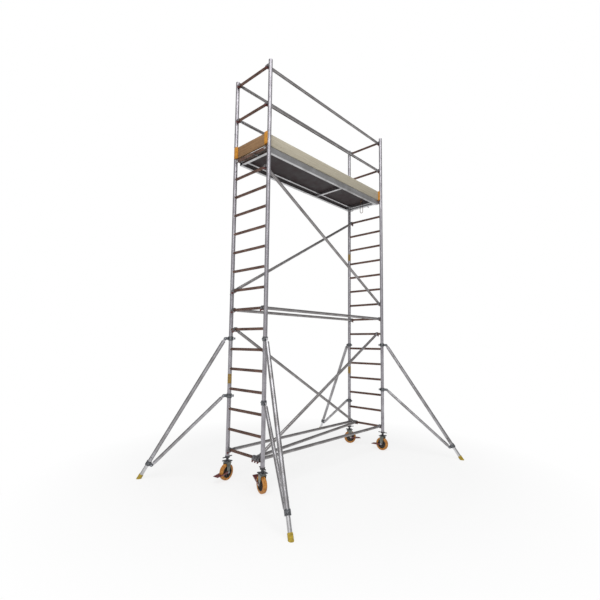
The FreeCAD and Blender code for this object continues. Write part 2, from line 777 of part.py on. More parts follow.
class Outrigger:
    """Points of one outrigger in its own upright plane: x is the reach from the stile's axis."""

    def __init__(self, corner):
        _, self.side_x, self.side_y, self.yaw, reach, upper, lower, _, _ = corner
        upper_z, lower_z = coupler_z(*upper), coupler_z(*lower)
        self.top = V(pivot_offset, 0, upper_z)
        self.low = V(pivot_offset, 0, lower_z)
        self.floor = V(reach, 0, 0)
        self.along = (self.floor - self.top).normalize()
        self.length = self.top.distanceToPoint(self.floor)
        self.collar_at = (upper_z - collar_height_z) / -self.along.z
        self.collar = self.top + self.along * self.collar_at
        self.inward = V(self.along.z, 0, -self.along.x)
        self.clamp = self.collar + self.inward * collar_pivot_offset
        self.strut_along = (self.clamp - self.low).normalize()
        self.strut_length = self.low.distanceToPoint(self.clamp)

    def place(self, solids):
        """Turn solids to the outrigger's yaw and set them on their stile."""
        turned_solids = [turned(solid, V(0, 0, 0), Z_AXIS, self.yaw) for solid in solids]
        return [moved(solid, self.side_x * half_length, self.side_y * half_width)
                for solid in turned_solids]


def tongue(pivot, along):
    """Flattened tube end about a pivot, with its pin hole."""
    half = tongue_thickness / 2
    side = V(along.z, 0, -along.x) * (tongue_width / 2)
    start = pivot - V(0, half, 0)
    end = start + along * tongue_length
    flat = prism([start + side, end + side, end - side, start - side], V(0, tongue_thickness, 0))
    eye = rod(tongue_width / 2, start, Y_AXIS, tongue_thickness)
    hole = rod(pivot_radius + pivot_clearance, start - V(0, half, 0), Y_AXIS, 2 * tongue_thickness)
    return flat.fuse(eye).cut(hole)


def ears(pivot, outward, root):
    """Two plates either side of a tongue, reaching back to root behind the pivot, with the pin hole."""
    inner = tongue_thickness / 2 + ear_gap
    side = V(outward.z, 0, -outward.x) * (tongue_width / 2)
    plates = []
    for y in (-inner - ear_thickness, inner):
        start = pivot + V(0, y, 0)
        back = start - outward * root
        plate = prism([start + side, back + side, back - side, start - side], V(0, ear_thickness, 0))
        plates.append(plate.fuse(rod(tongue_width / 2, start, Y_AXIS, ear_thickness)))
    reach = inner + ear_thickness
    hole = rod(pivot_radius + pivot_clearance, pivot - V(0, 2 * reach, 0), Y_AXIS, 4 * reach)
    return [plate.cut(hole) for plate in plates]


def pivot_pin(pivot):
    """Headed pin through a pair of ears."""
    reach = tongue_thickness / 2 + ear_gap + ear_thickness + ear_gap
    pin = rod(pivot_radius, pivot - V(0, reach, 0), Y_AXIS, 2 * reach)
    heads = [rod(pivot_head_radius, pivot + V(0, y, 0), Y_AXIS, pin_head_height)
             for y in (-reach - pin_head_height, reach)]
    return pin.fuse(heads)


def coupler(pivot):
    """Hinged tube coupler around the stile, its ears, and the clamping bolt behind."""
    low = V(0, 0, pivot.z - coupler_height / 2)
    ring_bore = rod(stile_radius + coupler_clearance, low, Z_AXIS, coupler_height)
    ring = rod(coupler_outer_radius, low, Z_AXIS, coupler_height)
    lug_half = coupler_height / 4
    lug = block(-coupler_bolt_offset - lug_half, -stile_radius, -lug_half, lug_half,
                pivot.z - lug_half, pivot.z + lug_half)
    casting = ring.fuse([lug] + ears(pivot, X_AXIS, pivot_offset - stile_radius - casting_root)).cut(ring_bore)
    bolt_start = V(-coupler_bolt_offset, -coupler_bolt_length / 2, pivot.z)
    casting = casting.cut(rod(coupler_bolt_radius + pin_clearance, bolt_start, Y_AXIS, coupler_bolt_length))
    head_y = lug_half + ear_gap
    bolt = rod(coupler_bolt_radius, bolt_start, Y_AXIS, coupler_bolt_length)
    head = rod(2 * coupler_bolt_radius, V(-coupler_bolt_offset, head_y, pivot.z), Y_AXIS, coupler_bolt_radius)
    nut = rod(2 * coupler_bolt_radius, V(-coupler_bolt_offset, -head_y, pivot.z), -Y_AXIS, coupler_bolt_radius)
    return [casting, bolt.fuse([head, nut])]


def collar(rig):
    """Cast collar on the foot of the long tube, with ears for the strut."""
    start = rig.collar - rig.along * (collar_length / 2)
    bore_radius = leg_tube_radius + coupler_clearance
    ring = rod(bore_radius + collar_wall, start, rig.along, collar_length)
    plates = ears(rig.clamp, rig.inward, collar_pivot_offset - leg_tube_radius - casting_root)
    return ring.fuse(plates).cut(rod(bore_radius, start, rig.along, collar_length))


def outrigger_tube(rig):
    """Long outer tube with its flattened top end."""
    start_at = tongue_length - tongue_thickness
    end_at = rig.collar_at + collar_length / 2
    start = rig.top + rig.along * start_at
    body = tube(leg_tube_radius, leg_tube_wall, start, rig.along, end_at - start_at)
    plug = rod(leg_tube_radius, start, rig.along, tongue_thickness)
    return rig.place([body.fuse([plug, tongue(rig.top, rig.along)])])


def outrigger_strut(rig):
    """Lower strut, flattened and pinned at both ends."""
    inset = tongue_length - tongue_thickness
    start = rig.low + rig.strut_along * inset
    end = rig.clamp - rig.strut_along * inset
    body = tube(strut_radius, strut_wall, start, rig.strut_along, rig.strut_length - 2 * inset)
    plugs = [rod(strut_radius, start, rig.strut_along, tongue_thickness),
             rod(strut_radius, end, -rig.strut_along, tongue_thickness)]
    ends = [tongue(rig.low, rig.strut_along), tongue(rig.clamp, -rig.strut_along)]
    return rig.place([body.fuse(plugs + ends)])


def outrigger_clamps(rig):
    """Both couplers, the collar and all the pivot pins."""
    pins = [pivot_pin(point) for point in (rig.top, rig.low, rig.clamp)]
    return rig.place(coupler(rig.top) + coupler(rig.low) + [collar(rig)] + pins)


def outrigger_leg(rig):
    """Inner leg, sliding in the long tube."""
    start_at = rig.collar_at - leg_inside
    start = rig.top + rig.along * start_at
    return rig.place([tube(leg_radius, leg_wall, start, rig.along, rig.length - leg_end_gap - start_at)])


def outrigger_foot(rig):
    """Rubber foot on the leg's end, flat on the floor."""
    start = rig.floor - rig.along * foot_length
    foot = rod(foot_radius, start, rig.along, 2 * foot_length)
    bore = rod(leg_radius + foot_clearance, start, rig.along, foot_length - leg_end_gap)
    reach = 4 * foot_length
    floor = block(rig.floor.x - reach, rig.floor.x + reach, -reach, reach, -reach, 0)
    return rig.place([foot.cut([bore, floor])])


# ---------------------------------------------------------------- whole tower
def tower_parts():
    """Every fixed part of the tower, and the platform's own moving parts."""
    return {
        "frame_stiles": stiles(),
        "frame_rungs": rungs(),
        "frame_spigots": spigots(),
        "frame_joint_pins": joint_pins(),
        "horizontal_braces": brace_tubes("horizontal"),
        "diagonal_braces": brace_tubes("diagonal"),
        "brace_claws": brace_fittings(claw),
        "claw_latches": brace_fittings(lambda along: latch()),
        "platform_frame": platform_frame(),
        "deck_board": deck_board(),
        "hatch_panel": hatch_panel(),
        "hatch_ring": hatch_ring(),
        "toe_boards": toe_boards(),
        "toe_board_clips": toe_board_clips(),
        "wind_lock_left": [wind_lock(-1)],
        "wind_lock_right": [wind_lock(1)],
    }


def corner_parts(corner):
    """Castor, levelling spindle and outrigger of one corner."""
    name, pedal_lift = corner[0], corner[-1]
    wheel_place = V(castor_trail, 0, wheel_radius)
    rig = Outrigger(corner)
    return {
        f"castor_tyre_{name}": placed_castor([moved(s, *wheel_place) for s in castor_tyre()], corner),
        f"castor_hub_{name}": placed_castor([moved(s, *wheel_place) for s in castor_hub()], corner),
        f"castor_fork_{name}": placed_castor(castor_fork(), corner),
        f"castor_pedal_{name}": placed_castor(castor_pedal(), corner, pedal_lift),
        f"castor_spindle_{name}": placed_castor(castor_spindle(), corner),
        f"levelling_nut_{name}": placed_castor(levelling_nut(), corner),
        f"outrigger_tube_{name}": outrigger_tube(rig),
        f"outrigger_strut_{name}": outrigger_strut(rig),
        f"outrigger_clamps_{name}": outrigger_clamps(rig),
        f"outrigger_leg_{name}": outrigger_leg(rig),
        f"outrigger_foot_{name}": outrigger_foot(rig),
    }


def footprint_centre(parts):
    """Middle of the box around the outrigger feet, which reach furthest out."""
    feet = [solid for name, solids in parts.items() if "foot" in name for solid in solids]
    box = Part.makeCompound(feet).optimalBoundingBox(False, False)
    return box.Center


parts = tower_parts()
for corner in CORNERS:
    parts.update(corner_parts(corner))

centre = footprint_centre(parts)
os.makedirs("parts", exist_ok=True)
for node, solids in parts.items():
    shape = Part.makeCompound(solids)
    shape.translate(V(-centre.x, -centre.y, 0))
    shape.exportStep(f"parts/{node}.step")
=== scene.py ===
"""Looks of a narrow mobile access tower: ladder frames, braces, trapdoor platform, castors and outriggers."""

import json
import math

import bmesh
import bpy
import numpy as np
from mathutils import Matrix, Vector
from mathutils.bvhtree import BVHTree

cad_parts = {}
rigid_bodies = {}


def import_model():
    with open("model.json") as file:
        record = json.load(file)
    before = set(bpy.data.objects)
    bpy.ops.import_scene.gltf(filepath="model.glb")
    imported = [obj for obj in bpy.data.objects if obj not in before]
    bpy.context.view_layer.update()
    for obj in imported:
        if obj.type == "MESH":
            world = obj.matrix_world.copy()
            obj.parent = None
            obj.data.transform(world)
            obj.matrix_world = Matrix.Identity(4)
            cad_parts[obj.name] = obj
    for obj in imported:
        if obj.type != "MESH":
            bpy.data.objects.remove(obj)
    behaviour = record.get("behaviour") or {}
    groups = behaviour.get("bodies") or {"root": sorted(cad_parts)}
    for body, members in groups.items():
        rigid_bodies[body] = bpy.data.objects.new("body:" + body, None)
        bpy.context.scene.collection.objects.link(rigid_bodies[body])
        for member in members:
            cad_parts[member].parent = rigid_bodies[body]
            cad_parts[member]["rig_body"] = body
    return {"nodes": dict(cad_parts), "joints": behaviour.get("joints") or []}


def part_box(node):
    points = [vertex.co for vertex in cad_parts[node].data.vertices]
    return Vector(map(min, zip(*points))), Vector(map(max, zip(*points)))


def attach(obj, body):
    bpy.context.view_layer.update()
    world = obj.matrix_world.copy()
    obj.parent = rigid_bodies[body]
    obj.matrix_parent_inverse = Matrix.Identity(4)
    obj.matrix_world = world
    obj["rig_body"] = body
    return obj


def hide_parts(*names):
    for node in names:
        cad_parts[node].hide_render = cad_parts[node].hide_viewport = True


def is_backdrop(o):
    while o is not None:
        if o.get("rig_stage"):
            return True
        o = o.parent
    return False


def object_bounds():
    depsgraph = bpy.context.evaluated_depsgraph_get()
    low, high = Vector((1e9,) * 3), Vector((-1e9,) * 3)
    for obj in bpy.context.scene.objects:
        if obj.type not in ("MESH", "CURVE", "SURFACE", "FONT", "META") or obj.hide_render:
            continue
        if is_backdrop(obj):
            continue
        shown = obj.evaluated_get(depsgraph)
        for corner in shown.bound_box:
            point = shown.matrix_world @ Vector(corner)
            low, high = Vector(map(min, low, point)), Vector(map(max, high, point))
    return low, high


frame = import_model()
cad_low, cad_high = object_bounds()
joints = {joint["name"]: joint for joint in frame["joints"]}
corners = [name[: -len("_nut_turn")] for name in joints if name.endswith("_nut_turn")]
stile_axis = {corner: Vector((*joints[corner + "_nut_turn"]["pos_m"][:2], 0.0)) for corner in corners}


# ---- Stiles of the ladder frames and guard frames
# Round tube of 6082 aluminium, 50.8 mm across, as it comes from the extrusion press: a satin grey with fine
# die lines along the tube, and duller where years of gloves and weather have touched it.
def linear(colour):
    """An sRGB hex colour as linear RGBA."""
    parts = [int(colour[i:i + 2], 16) / 255 for i in (1, 3, 5)]
    return [p / 12.92 if p <= 0.04045 else ((p + 0.055) / 1.055) ** 2.4 for p in parts] + [1.0]


def add(tree, kind, settings=None, links=None):
    """Add one node with its settings, by attribute or input, and the links into it."""
    node = tree.nodes.new(kind)
    for key, value in (settings or {}).items():
        if isinstance(key, str) and hasattr(node, key):
            setattr(node, key, value)
        else:
            node.inputs[key].default_value = value
    for key, source in (links or {}).items():
        tree.links.new(source, node.inputs[key])
    return node


def surface(name, constant):
    """A new material: its tree, its shader with the constant values set, and its object coordinates."""
    material = bpy.data.materials.new(name)
    material.use_nodes = True
    tree = material.node_tree
    shader = tree.nodes["Principled BSDF"]
    for label, value in constant.items():
        shader.inputs[label].default_value = value
    return material, tree, shader, add(tree, "ShaderNodeTexCoord").outputs["Object"]


def weathered_metal(name, bright, dull, roughness, per_metre, depth_mm, metallic=1.0):
    """Bare metal: dull patches a hand wide, and lines or grain at per_metre along X, Y and Z."""
    material, tree, shader, place = surface(name, {"Metallic": metallic})
    patches = add(tree, "ShaderNodeTexNoise", {"Scale": 7.0, "Detail": 5.0, "Roughness": 0.65},
                  {"Vector": place})
    drawn = add(tree, "ShaderNodeMapping", {"Scale": per_metre}, {"Vector": place})
    grain = add(tree, "ShaderNodeTexNoise", {"Scale": 1.0, "Detail": 3.0}, {"Vector": drawn.outputs["Vector"]})
    lines = add(tree, "ShaderNodeMath", {"operation": "MULTIPLY", 1: 0.2}, {0: grain.outputs["Fac"]})
    worn = add(tree, "ShaderNodeMath", {"operation": "MULTIPLY_ADD", 1: 0.8},
               {0: patches.outputs["Fac"], 2: lines.outputs[0]})
    spread = add(tree, "ShaderNodeMapRange", {"From Min": 0.34, "From Max": 0.66}, {"Value": worn.outputs[0]})
    colour = add(tree, "ShaderNodeMix", {"data_type": "RGBA", 6: linear(dull), 7: linear(bright)},
                 {0: spread.outputs["Result"]})
    rough = add(tree, "ShaderNodeMapRange", {"To Min": roughness + 0.1, "To Max": roughness - 0.08},
                {"Value": spread.outputs["Result"]})
    bump = add(tree, "ShaderNodeBump", {"Strength": 0.25, "Distance": depth_mm / 1000},
               {"Height": grain.outputs["Fac"]})
    tree.links.new(colour.outputs[2], shader.inputs["Base Color"])
    tree.links.new(rough.outputs["Result"], shader.inputs["Roughness"])
    tree.links.new(bump.outputs["Normal"], shader.inputs["Normal"])
    return material


def dress(node, material):
    """Give a CAD node that stays its finish."""
    for place in frame["nodes"][node].material_slots:
        place.material = material


# Die lines are about 0.3 mm apart; drawn 3 mm apart, so that they show.
stile_aluminium = weathered_metal("mill_finish_stile_aluminium", "#B8B6BB", "#98949A", 0.46, (330, 330, 3),
                                  0.15)
dress("frame_stiles", stile_aluminium)
dress("frame_spigots", stile_aluminium)


# ---- Rungs
# Fluted aluminium tube, 35 mm across, welded between the stiles. The flutes give boots a grip. The tube's warm,
# dark brown is painted light: a painted reflection of brown surroundings and painted shade under the rungs, on
# bare aluminium.
def merged(node):
    """A merged copy of a CAD node's mesh, to be edited or measured."""
    form = bmesh.new()
    form.from_mesh(frame["nodes"][node].data)
    bmesh.ops.remove_doubles(form, verts=form.verts, dist=1e-6)
    return form


def islands(form):
    """The vertices of each part of a mesh that hangs together."""
    left, found = set(form.verts), []
    for start in form.verts:
        if start not in left:
            continue
        left.remove(start)
        reach, group = [start], []
        while reach:
            vert = reach.pop()
            group.append(vert)
            for edge in vert.link_edges:
                other = edge.other_vert(vert)
                if other in left:
                    left.remove(other)
                    reach.append(other)
        found.append(group)
    return found


def solids(node):
    """The points of each solid in a CAD node."""
    form = merged(node)
    found = [np.array([vert.co[:] for vert in group]) for group in islands(form)]
    form.free()
    return found


def facing(point, out, across=(0, 0, 1)):
    """A place at a point with Z along out, and X as near to across as it can be."""
    z = Vector(out).normalized()
    x = Vector(across) - z * z.dot(Vector(across))
    x = z.orthogonal().normalized() if x.length < 1e-6 else x.normalized()
    turn = Matrix((x, z.cross(x), z)).transposed().to_4x4()
    return Matrix.Translation(Vector(point)) @ turn


def new_shape(name, **sizes):
    """A Geometry Nodes tree that takes places and named sizes, and its input node."""
    tree = bpy.data.node_groups.new(name, "GeometryNodeTree")
    tree.interface.new_socket("Places", in_out="INPUT", socket_type="NodeSocketGeometry")
    tree.interface.new_socket("Finish", in_out="INPUT", socket_type="NodeSocketMaterial")
    for label, value in sizes.items():
        kind = "NodeSocketInt" if isinstance(value, int) else "NodeSocketFloat"
        tree.interface.new_socket(label, in_out="INPUT", socket_type=kind).default_value = value
    tree.interface.new_socket("Mesh", in_out="OUTPUT", socket_type="NodeSocketGeometry")
    return tree, add(tree, "NodeGroupInput").outputs


def at_places(tree, given, shape):
    """End a tree: the shape stands at every place, turned as the place is, real and with its finish."""
    turn = add(tree, "GeometryNodeInputNamedAttribute", {"data_type": "FLOAT_VECTOR", "Name": "turn"})
    euler = add(tree, "FunctionNodeEulerToRotation", {}, {0: turn.outputs[0]})
    stood = add(tree, "GeometryNodeInstanceOnPoints", {},
                {"Points": given["Places"], "Instance": shape, "Rotation": euler.outputs[0]})
    real = add(tree, "GeometryNodeRealizeInstances", {}, {"Geometry": stood.outputs[0]})
    done = add(tree, "GeometryNodeSetMaterial", {}, {"Geometry": real.outputs[0], "Material": given["Finish"]})
    add(tree, "NodeGroupOutput", {}, {0: done.outputs[0]})


def show(name, mesh, body, stands_for=(), sharp=35):
    """Show a mesh as a piece that moves with a body, smooth but for edges sharper than the angle given."""
    mesh.shade_smooth()
    mesh.set_sharp_from_angle(angle=math.radians(sharp))
    obj = bpy.data.objects.new(name, mesh)
    bpy.context.scene.collection.objects.link(obj)
    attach(obj, body)
    if stands_for:
        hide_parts(*stands_for)
    return obj


def repeat(name, tree, places, material, body, slot, stands_for=(), **sizes):
    """One plain mesh of a tree's shape at all these places."""
    seeds = bpy.data.meshes.new(name)
    seeds.from_pydata([place.translation for place in places], [], [])
    turn = seeds.attributes.new("turn", "FLOAT_VECTOR", "POINT")
    turn.data.foreach_set("vector", [a for place in places for a in place.to_euler()])
    host = bpy.data.objects.new(name + "_seeds", seeds)
    bpy.context.scene.collection.objects.link(host)
    growth = host.modifiers.new(name, "NODES")
    growth.node_group = tree
    sockets = {item.name: item.identifier for item in tree.interface.items_tree if item.in_out == "INPUT"}
    growth[sockets["Finish"]] = material
    for label, value in sizes.items():
        growth[sockets[label]] = value
    mesh = bpy.data.meshes.new_from_object(host.evaluated_get(bpy.context.evaluated_depsgraph_get()))
    mesh.name = name
    host.modifiers.remove(growth)
    bpy.data.objects.remove(host)
    return show(name, mesh, body, stands_for)


fluted_tube, given = new_shape("fluted_tube", Flutes=24, Radius=0.0175, Length=0.6, Depth=0.0008)
sides = add(fluted_tube, "ShaderNodeMath", {"operation": "MULTIPLY", 1: 4.0}, {0: given["Flutes"]})
tube = add(fluted_tube, "GeometryNodeMeshCylinder", {},
           {"Vertices": sides.outputs[0], "Radius": given["Radius"], "Depth": given["Length"]})
index = add(fluted_tube, "GeometryNodeInputIndex")
step = add(fluted_tube, "ShaderNodeMath", {"operation": "MODULO", 1: 4.0}, {0: index.outputs[0]})
sunk = add(fluted_tube, "ShaderNodeMath", {"operation": "GREATER_THAN", 1: 1.5}, {0: step.outputs[0]})
share = add(fluted_tube, "ShaderNodeMath", {"operation": "DIVIDE"}, {0: given["Depth"], 1: given["Radius"]})
amount = add(fluted_tube, "ShaderNodeMath", {"operation": "MULTIPLY", 1: -1.0}, {0: share.outputs[0]})
inward = add(fluted_tube, "ShaderNodeCombineXYZ", {}, {"X": amount.outputs[0], "Y": amount.outputs[0]})
spot = add(fluted_tube, "GeometryNodeInputPosition")
move = add(fluted_tube, "ShaderNodeVectorMath", {"operation": "MULTIPLY"},
           {0: spot.outputs[0], 1: inward.outputs[0]})
fluted = add(fluted_tube, "GeometryNodeSetPosition", {},
             {"Geometry": tube.outputs["Mesh"], "Selection": sunk.outputs[0], "Offset": move.outputs[0]})
at_places(fluted_tube, given, fluted.outputs[0])

# Scuffs run round the tube, 4 mm apart.
# Both brown base colours are painted reflection and painted shade; only the scuff pattern between them is wear.
rung_aluminium = weathered_metal("scuffed_rung_aluminium_painted_brown_reflection", "#86685C", "#523C35", 0.45, (250, 40, 250), 0.2, 0.6)
rung_boxes = [(points.min(0), points.max(0)) for points in solids("frame_rungs")]
rung_radius = float(rung_boxes[0][1][2] - rung_boxes[0][0][2]) / 2
rung_length = float(rung_boxes[0][1][1] - rung_boxes[0][0][1])
rung_middles = [Vector((low + high) / 2) for low, high in rung_boxes]
rung_heights = sorted({round(middle.z, 3) for middle in rung_middles})
repeat("fluted_rungs", fluted_tube, [facing(middle, (0, 1, 0)) for middle in rung_middles], rung_aluminium,
       "tower", "rung_aluminium", ["frame_rungs"], Radius=rung_radius, Length=rung_length)

# ---- Welds between rungs and stiles
# A TIG bead round each rung end, where the round rung meets the round stile: a row of overlapping ripples in
# bright filler metal.
weld_bead, given = new_shape("weld_bead", Rung=0.018, Stile=0.0254, Bead=0.0024, Ripples=26)
ring = add(weld_bead, "GeometryNodeCurvePrimitiveCircle", {"Resolution": 52}, {"Radius": given["Rung"]})
spot = add(weld_bead, "GeometryNodeInputPosition")
where = add(weld_bead, "ShaderNodeSeparateXYZ", {}, {0: spot.outputs[0]})
x_square = add(weld_bead, "ShaderNodeMath", {"operation": "POWER", 1: 2.0}, {0: where.outputs["X"]})
r_square = add(weld_bead, "ShaderNodeMath", {"operation": "POWER", 1: 2.0}, {0: given["Stile"]})
rest = add(weld_bead, "ShaderNodeMath", {"operation": "SUBTRACT"},
           {0: r_square.outputs[0], 1: x_square.outputs[0]})
rise = add(weld_bead, "ShaderNodeMath", {"operation": "SQRT"}, {0: rest.outputs[0]})
lift = add(weld_bead, "ShaderNodeCombineXYZ", {}, {"Z": rise.outputs[0]})
saddle = add(weld_bead, "GeometryNodeSetPosition", {}, {"Geometry": ring.outputs[0], "Offset": lift.outputs[0]})
along = add(weld_bead, "GeometryNodeSplineParameter")
phase = add(weld_bead, "ShaderNodeMath", {"operation": "MULTIPLY"},
            {0: along.outputs["Factor"], 1: given["Ripples"]})
wave = add(weld_bead, "ShaderNodeMath", {"operation": "PINGPONG", 1: 0.5}, {0: phase.outputs[0]})
swell = add(weld_bead, "ShaderNodeMath", {"operation": "MULTIPLY_ADD", 1: 0.7, 2: 0.75}, {0: wave.outputs[0]})
size = add(weld_bead, "ShaderNodeMath", {"operation": "MULTIPLY"}, {0: swell.outputs[0], 1: given["Bead"]})
bead = add(weld_bead, "GeometryNodeCurvePrimitiveCircle", {"Resolution": 5, "Radius": 1.0})
run = add(weld_bead, "GeometryNodeCurveToMesh", {},
          {"Curve": saddle.outputs[0], "Profile Curve": bead.outputs[0], "Scale": size.outputs[0]})
at_places(weld_bead, given, run.outputs[0])

weld_metal = weathered_metal("tig_weld_aluminium", "#D2D2D4", "#8C8886", 0.34, (300, 300, 300), 0.2)
weld_places = []
for middle in rung_middles:
    for corner in corners:
        axis = stile_axis[corner]
        if abs(axis.x - middle.x) < 0.01:
            weld_places.append(facing((axis.x, axis.y, middle.z), (0, middle.y - axis.y, 0), (1, 0, 0)))
repeat("rung_welds", weld_bead, weld_places, weld_metal, "tower", "aluminium_tube", Rung=rung_radius + 0.0006)

# ---- Width bands on the stiles
# Blank bands of yellow vinyl film, wrapped round three stiles to mark frames of one set. Handling has scuffed
# them and left them dirty.
label_vinyl, tree, shader, place = surface("yellow_vinyl_film", {"Roughness": 0.4, "Coat Weight": 0.2})
scuffs = add(tree, "ShaderNodeTexNoise", {"Scale": 60.0, "Detail": 6.0, "Roughness": 0.7}, {"Vector": place})
spread = add(tree, "ShaderNodeMapRange", {"From Min": 0.35, "From Max": 0.65}, {"Value": scuffs.outputs["Fac"]})
tint = add(tree, "ShaderNodeMix", {"data_type": "RGBA", 6: linear("#7A5E28"), 7: linear("#A8873A")},
           {0: spread.outputs["Result"]})
tree.links.new(tint.outputs[2], shader.inputs["Base Color"])


def wrap(axis, low, high, radius, thickness, spread_deg, heading_deg, steps=28):
    """A closed band of film part of the way round an upright tube."""
    points, faces = [], []
    for i in range(steps + 1):
        turn = math.radians(heading_deg + spread_deg * (i / steps - 0.5))
        for r, z in ((radius, low), (radius + thickness, low), (radius + thickness, high), (radius, high)):
            points.append((axis.x + r * math.cos(turn), axis.y + r * math.sin(turn), z))
    for i in range(steps):
        for k in range(4):
            a, b = 4 * i + k, 4 * i + (k + 1) % 4
            faces.append((a, b, b + 4, a + 4))
    faces += [(3, 2, 1, 0), tuple(4 * steps + k for k in range(4))]
    return points, faces


def plain_mesh(name, parts, material):
    """One mesh of several closed shells, faces turned outward."""
    mesh, points, faces = bpy.data.meshes.new(name), [], []
    for shell_points, shell_faces in parts:
        faces += [tuple(i + len(points) for i in face) for face in shell_faces]
        points += shell_points
    mesh.from_pydata(points, [], faces)
    form = bmesh.new()
    form.from_mesh(mesh)
    bmesh.ops.remove_doubles(form, verts=form.verts, dist=1e-6)
    bmesh.ops.recalc_face_normals(form, faces=form.faces)
    form.to_mesh(mesh)
    form.free()
    mesh.materials.append(material)
    return mesh


stile_radius = float(np.ptp(solids("frame_stiles")[0][:, 0])) / 2
bands, band_half = [], 0.06
for corner, rung in (("back_left", 3), ("back_right", 3), ("back_right", 11)):
    middle = (rung_heights[rung] + rung_heights[rung + 1]) / 2
    bands.append(wrap(stile_axis[corner], middle - band_half, middle + band_half, stile_radius + 0.0001, 0.0004,
                      290, -120))
show("stile_bands", plain_mesh("stile_bands", bands, label_vinyl), "tower")

# ---- Joint pins
# Zinc plated steel pins hold the stacked frames together at each spigot. Bright and slightly bluish, with
# duller patches.
zinc_plate = weathered_metal("zinc_plated_steel", "#C3C6CC", "#7F8288", 0.3, (500, 500, 500), 0.05)
dress("frame_joint_pins", zinc_plate)

# ---- Braces and guard rails
# Plain aluminium tubes, 40 mm across, flattened nowhere: each end is riveted over the neck of a cast claw that
# hooks on a rung. Drawn finish, with grime blown along the tube.
brace_aluminium = weathered_metal("drawn_brace_aluminium", "#A9A6A7", "#878382", 0.42, (60, 330, 330), 0.12)
dress("horizontal_braces", brace_aluminium)
dress("diagonal_braces", brace_aluminium)

rivet_head, given = new_shape("rivet_head", Radius=0.005, Height=0.002)
ball = add(rivet_head, "GeometryNodeMeshUVSphere", {"Segments": 10, "Rings": 6}, {"Radius": given["Radius"]})
share = add(rivet_head, "ShaderNodeMath", {"operation": "DIVIDE"}, {0: given["Height"], 1: given["Radius"]})
low_dome = add(rivet_head, "ShaderNodeCombineXYZ", {"X": 1.0, "Y": 1.0}, {"Z": share.outputs[0]})
dome = add(rivet_head, "GeometryNodeTransform", {},
           {"Geometry": ball.outputs["Mesh"], "Scale": low_dome.outputs[0]})
at_places(rivet_head, given, dome.outputs[0])

rivets = []
for points in solids("horizontal_braces") + solids("diagonal_braces"):
    middle = (points.min(0) + points.max(0)) / 2
    axis = np.linalg.svd(points - middle, full_matrices=False)[2][0]
    reach = (points - middle) @ axis
    radius = np.linalg.norm(points - middle - np.outer(reach, axis), axis=1).max()
    side = Vector(axis).cross(Vector((0, 0, 1))).normalized()
    for end in (-1, 1):
        for inset in (0.018, 0.05):
            for out in (side, -side):
                centre = Vector(middle + axis * end * (np.abs(reach).max() - inset))
                rivets.append(facing(centre + out * float(radius - 0.0003), out))
repeat("brace_rivets", rivet_head, rivets, zinc_plate, "tower", "zinc_plated_steel", Radius=0.0048,
       Height=0.0022)


# ---- Brace claws
# Sand cast aluminium hooks at the brace ends: a matt, grainy skin with softened edges.
def rounded(name, form, width, shortest, material):
    """A mesh of the edited form, its sharp edges rounded where they are longer than the shortest."""
    bmesh.ops.dissolve_limit(form, angle_limit=math.radians(1), verts=form.verts, edges=form.edges)
    sharp = [edge for edge in form.edges if edge.is_manifold
             and edge.calc_face_angle(0) > math.radians(50) and edge.calc_length() > shortest]
    bmesh.ops.bevel(form, geom=sharp, offset=width, offset_type="OFFSET", segments=2, profile=0.5,
                    affect="EDGES", clamp_overlap=True)
    mesh = bpy.data.meshes.new(name)
    form.to_mesh(mesh)
    form.free()
    mesh.materials.clear()
    mesh.materials.append(material)
    return mesh


def softened(node, material, width=0.0009, kept=lambda low, high: True, name=None):
    """A copy of a CAD node with its edges rounded, in place of the node."""
    form = merged(node)
    for group in islands(form):
        points = np.array([vert.co[:] for vert in group])
        if not kept(points.min(0), points.max(0)):
            bmesh.ops.delete(form, geom=group, context="VERTS")
    mesh = rounded(name or node + "_soft", form, width, 2 * width, material)
    return show(mesh.name, mesh, frame["nodes"][node]["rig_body"], [node])


cast_aluminium = weathered_metal("sand_cast_aluminium", "#A9A9AC", "#6E6C6D", 0.5, (700, 700, 700), 0.5)
softened("brace_claws", cast_aluminium)

# ---- Claw latches
# Glass filled red nylon triggers under the claws, moulded, with a slight sheen and whitened rubbing marks.
latch_nylon, tree, shader, place = surface("red_nylon", {"Roughness": 0.42})
marks = add(tree, "ShaderNodeTexNoise", {"Scale": 150.0, "Detail": 4.0}, {"Vector": place})
spread = add(tree, "ShaderNodeMapRange", {"From Min": 0.4, "From Max": 0.75}, {"Value": marks.outputs["Fac"]})
tint = add(tree, "ShaderNodeMix", {"data_type": "RGBA", 6: linear("#5A2422"), 7: linear("#7C3B36")},
           {0: spread.outputs["Result"]})
tree.links.new(tint.outputs[2], shader.inputs["Base Color"])
dress("claw_latches", latch_nylon)

# ---- Platform frame
# Two extruded side beams with a box foot and a lip for the deck, joined by end beams and battens, with a cast
# hook over the top rung at each corner. Die lines run along the beams.
beam_aluminium = weathered_metal("extruded_beam_aluminium", "#C9C9CB", "#A3A2A2", 0.3, (4, 260, 260), 0.15)
dress("platform_frame", beam_aluminium)

platform_boxes = [(Vector(points.min(0)), Vector(points.max(0))) for points in solids("platform_frame")]
side_beams = sorted(platform_boxes, key=lambda box: box[0].x - box[1].x)[:2]
cross_members = [box for box in platform_boxes if box[1].y - box[0].y > 0.4]
platform_rivets = []
for low, high in side_beams:
    out = -1 if low.y + high.y < 2 * sum(axis.y for axis in stile_axis.values()) / 4 else 1
    face = low.y if out < 0 else high.y
    for cross_low, cross_high in cross_members:
        middle = (cross_low + cross_high) / 2
        for x in (-0.012, 0.012):
            for z in (-0.014, 0.014):
                height = min(max(middle.z + z, low.z + 0.008), low.z + 0.05)
                platform_rivets.append(facing((middle.x + x, face - out * 0.0003, height), (0, out, 0)))
repeat("platform_rivets", rivet_head, platform_rivets, zinc_plate, "tower", "zinc_plated_steel",
       Radius=0.005, Height=0.0022)
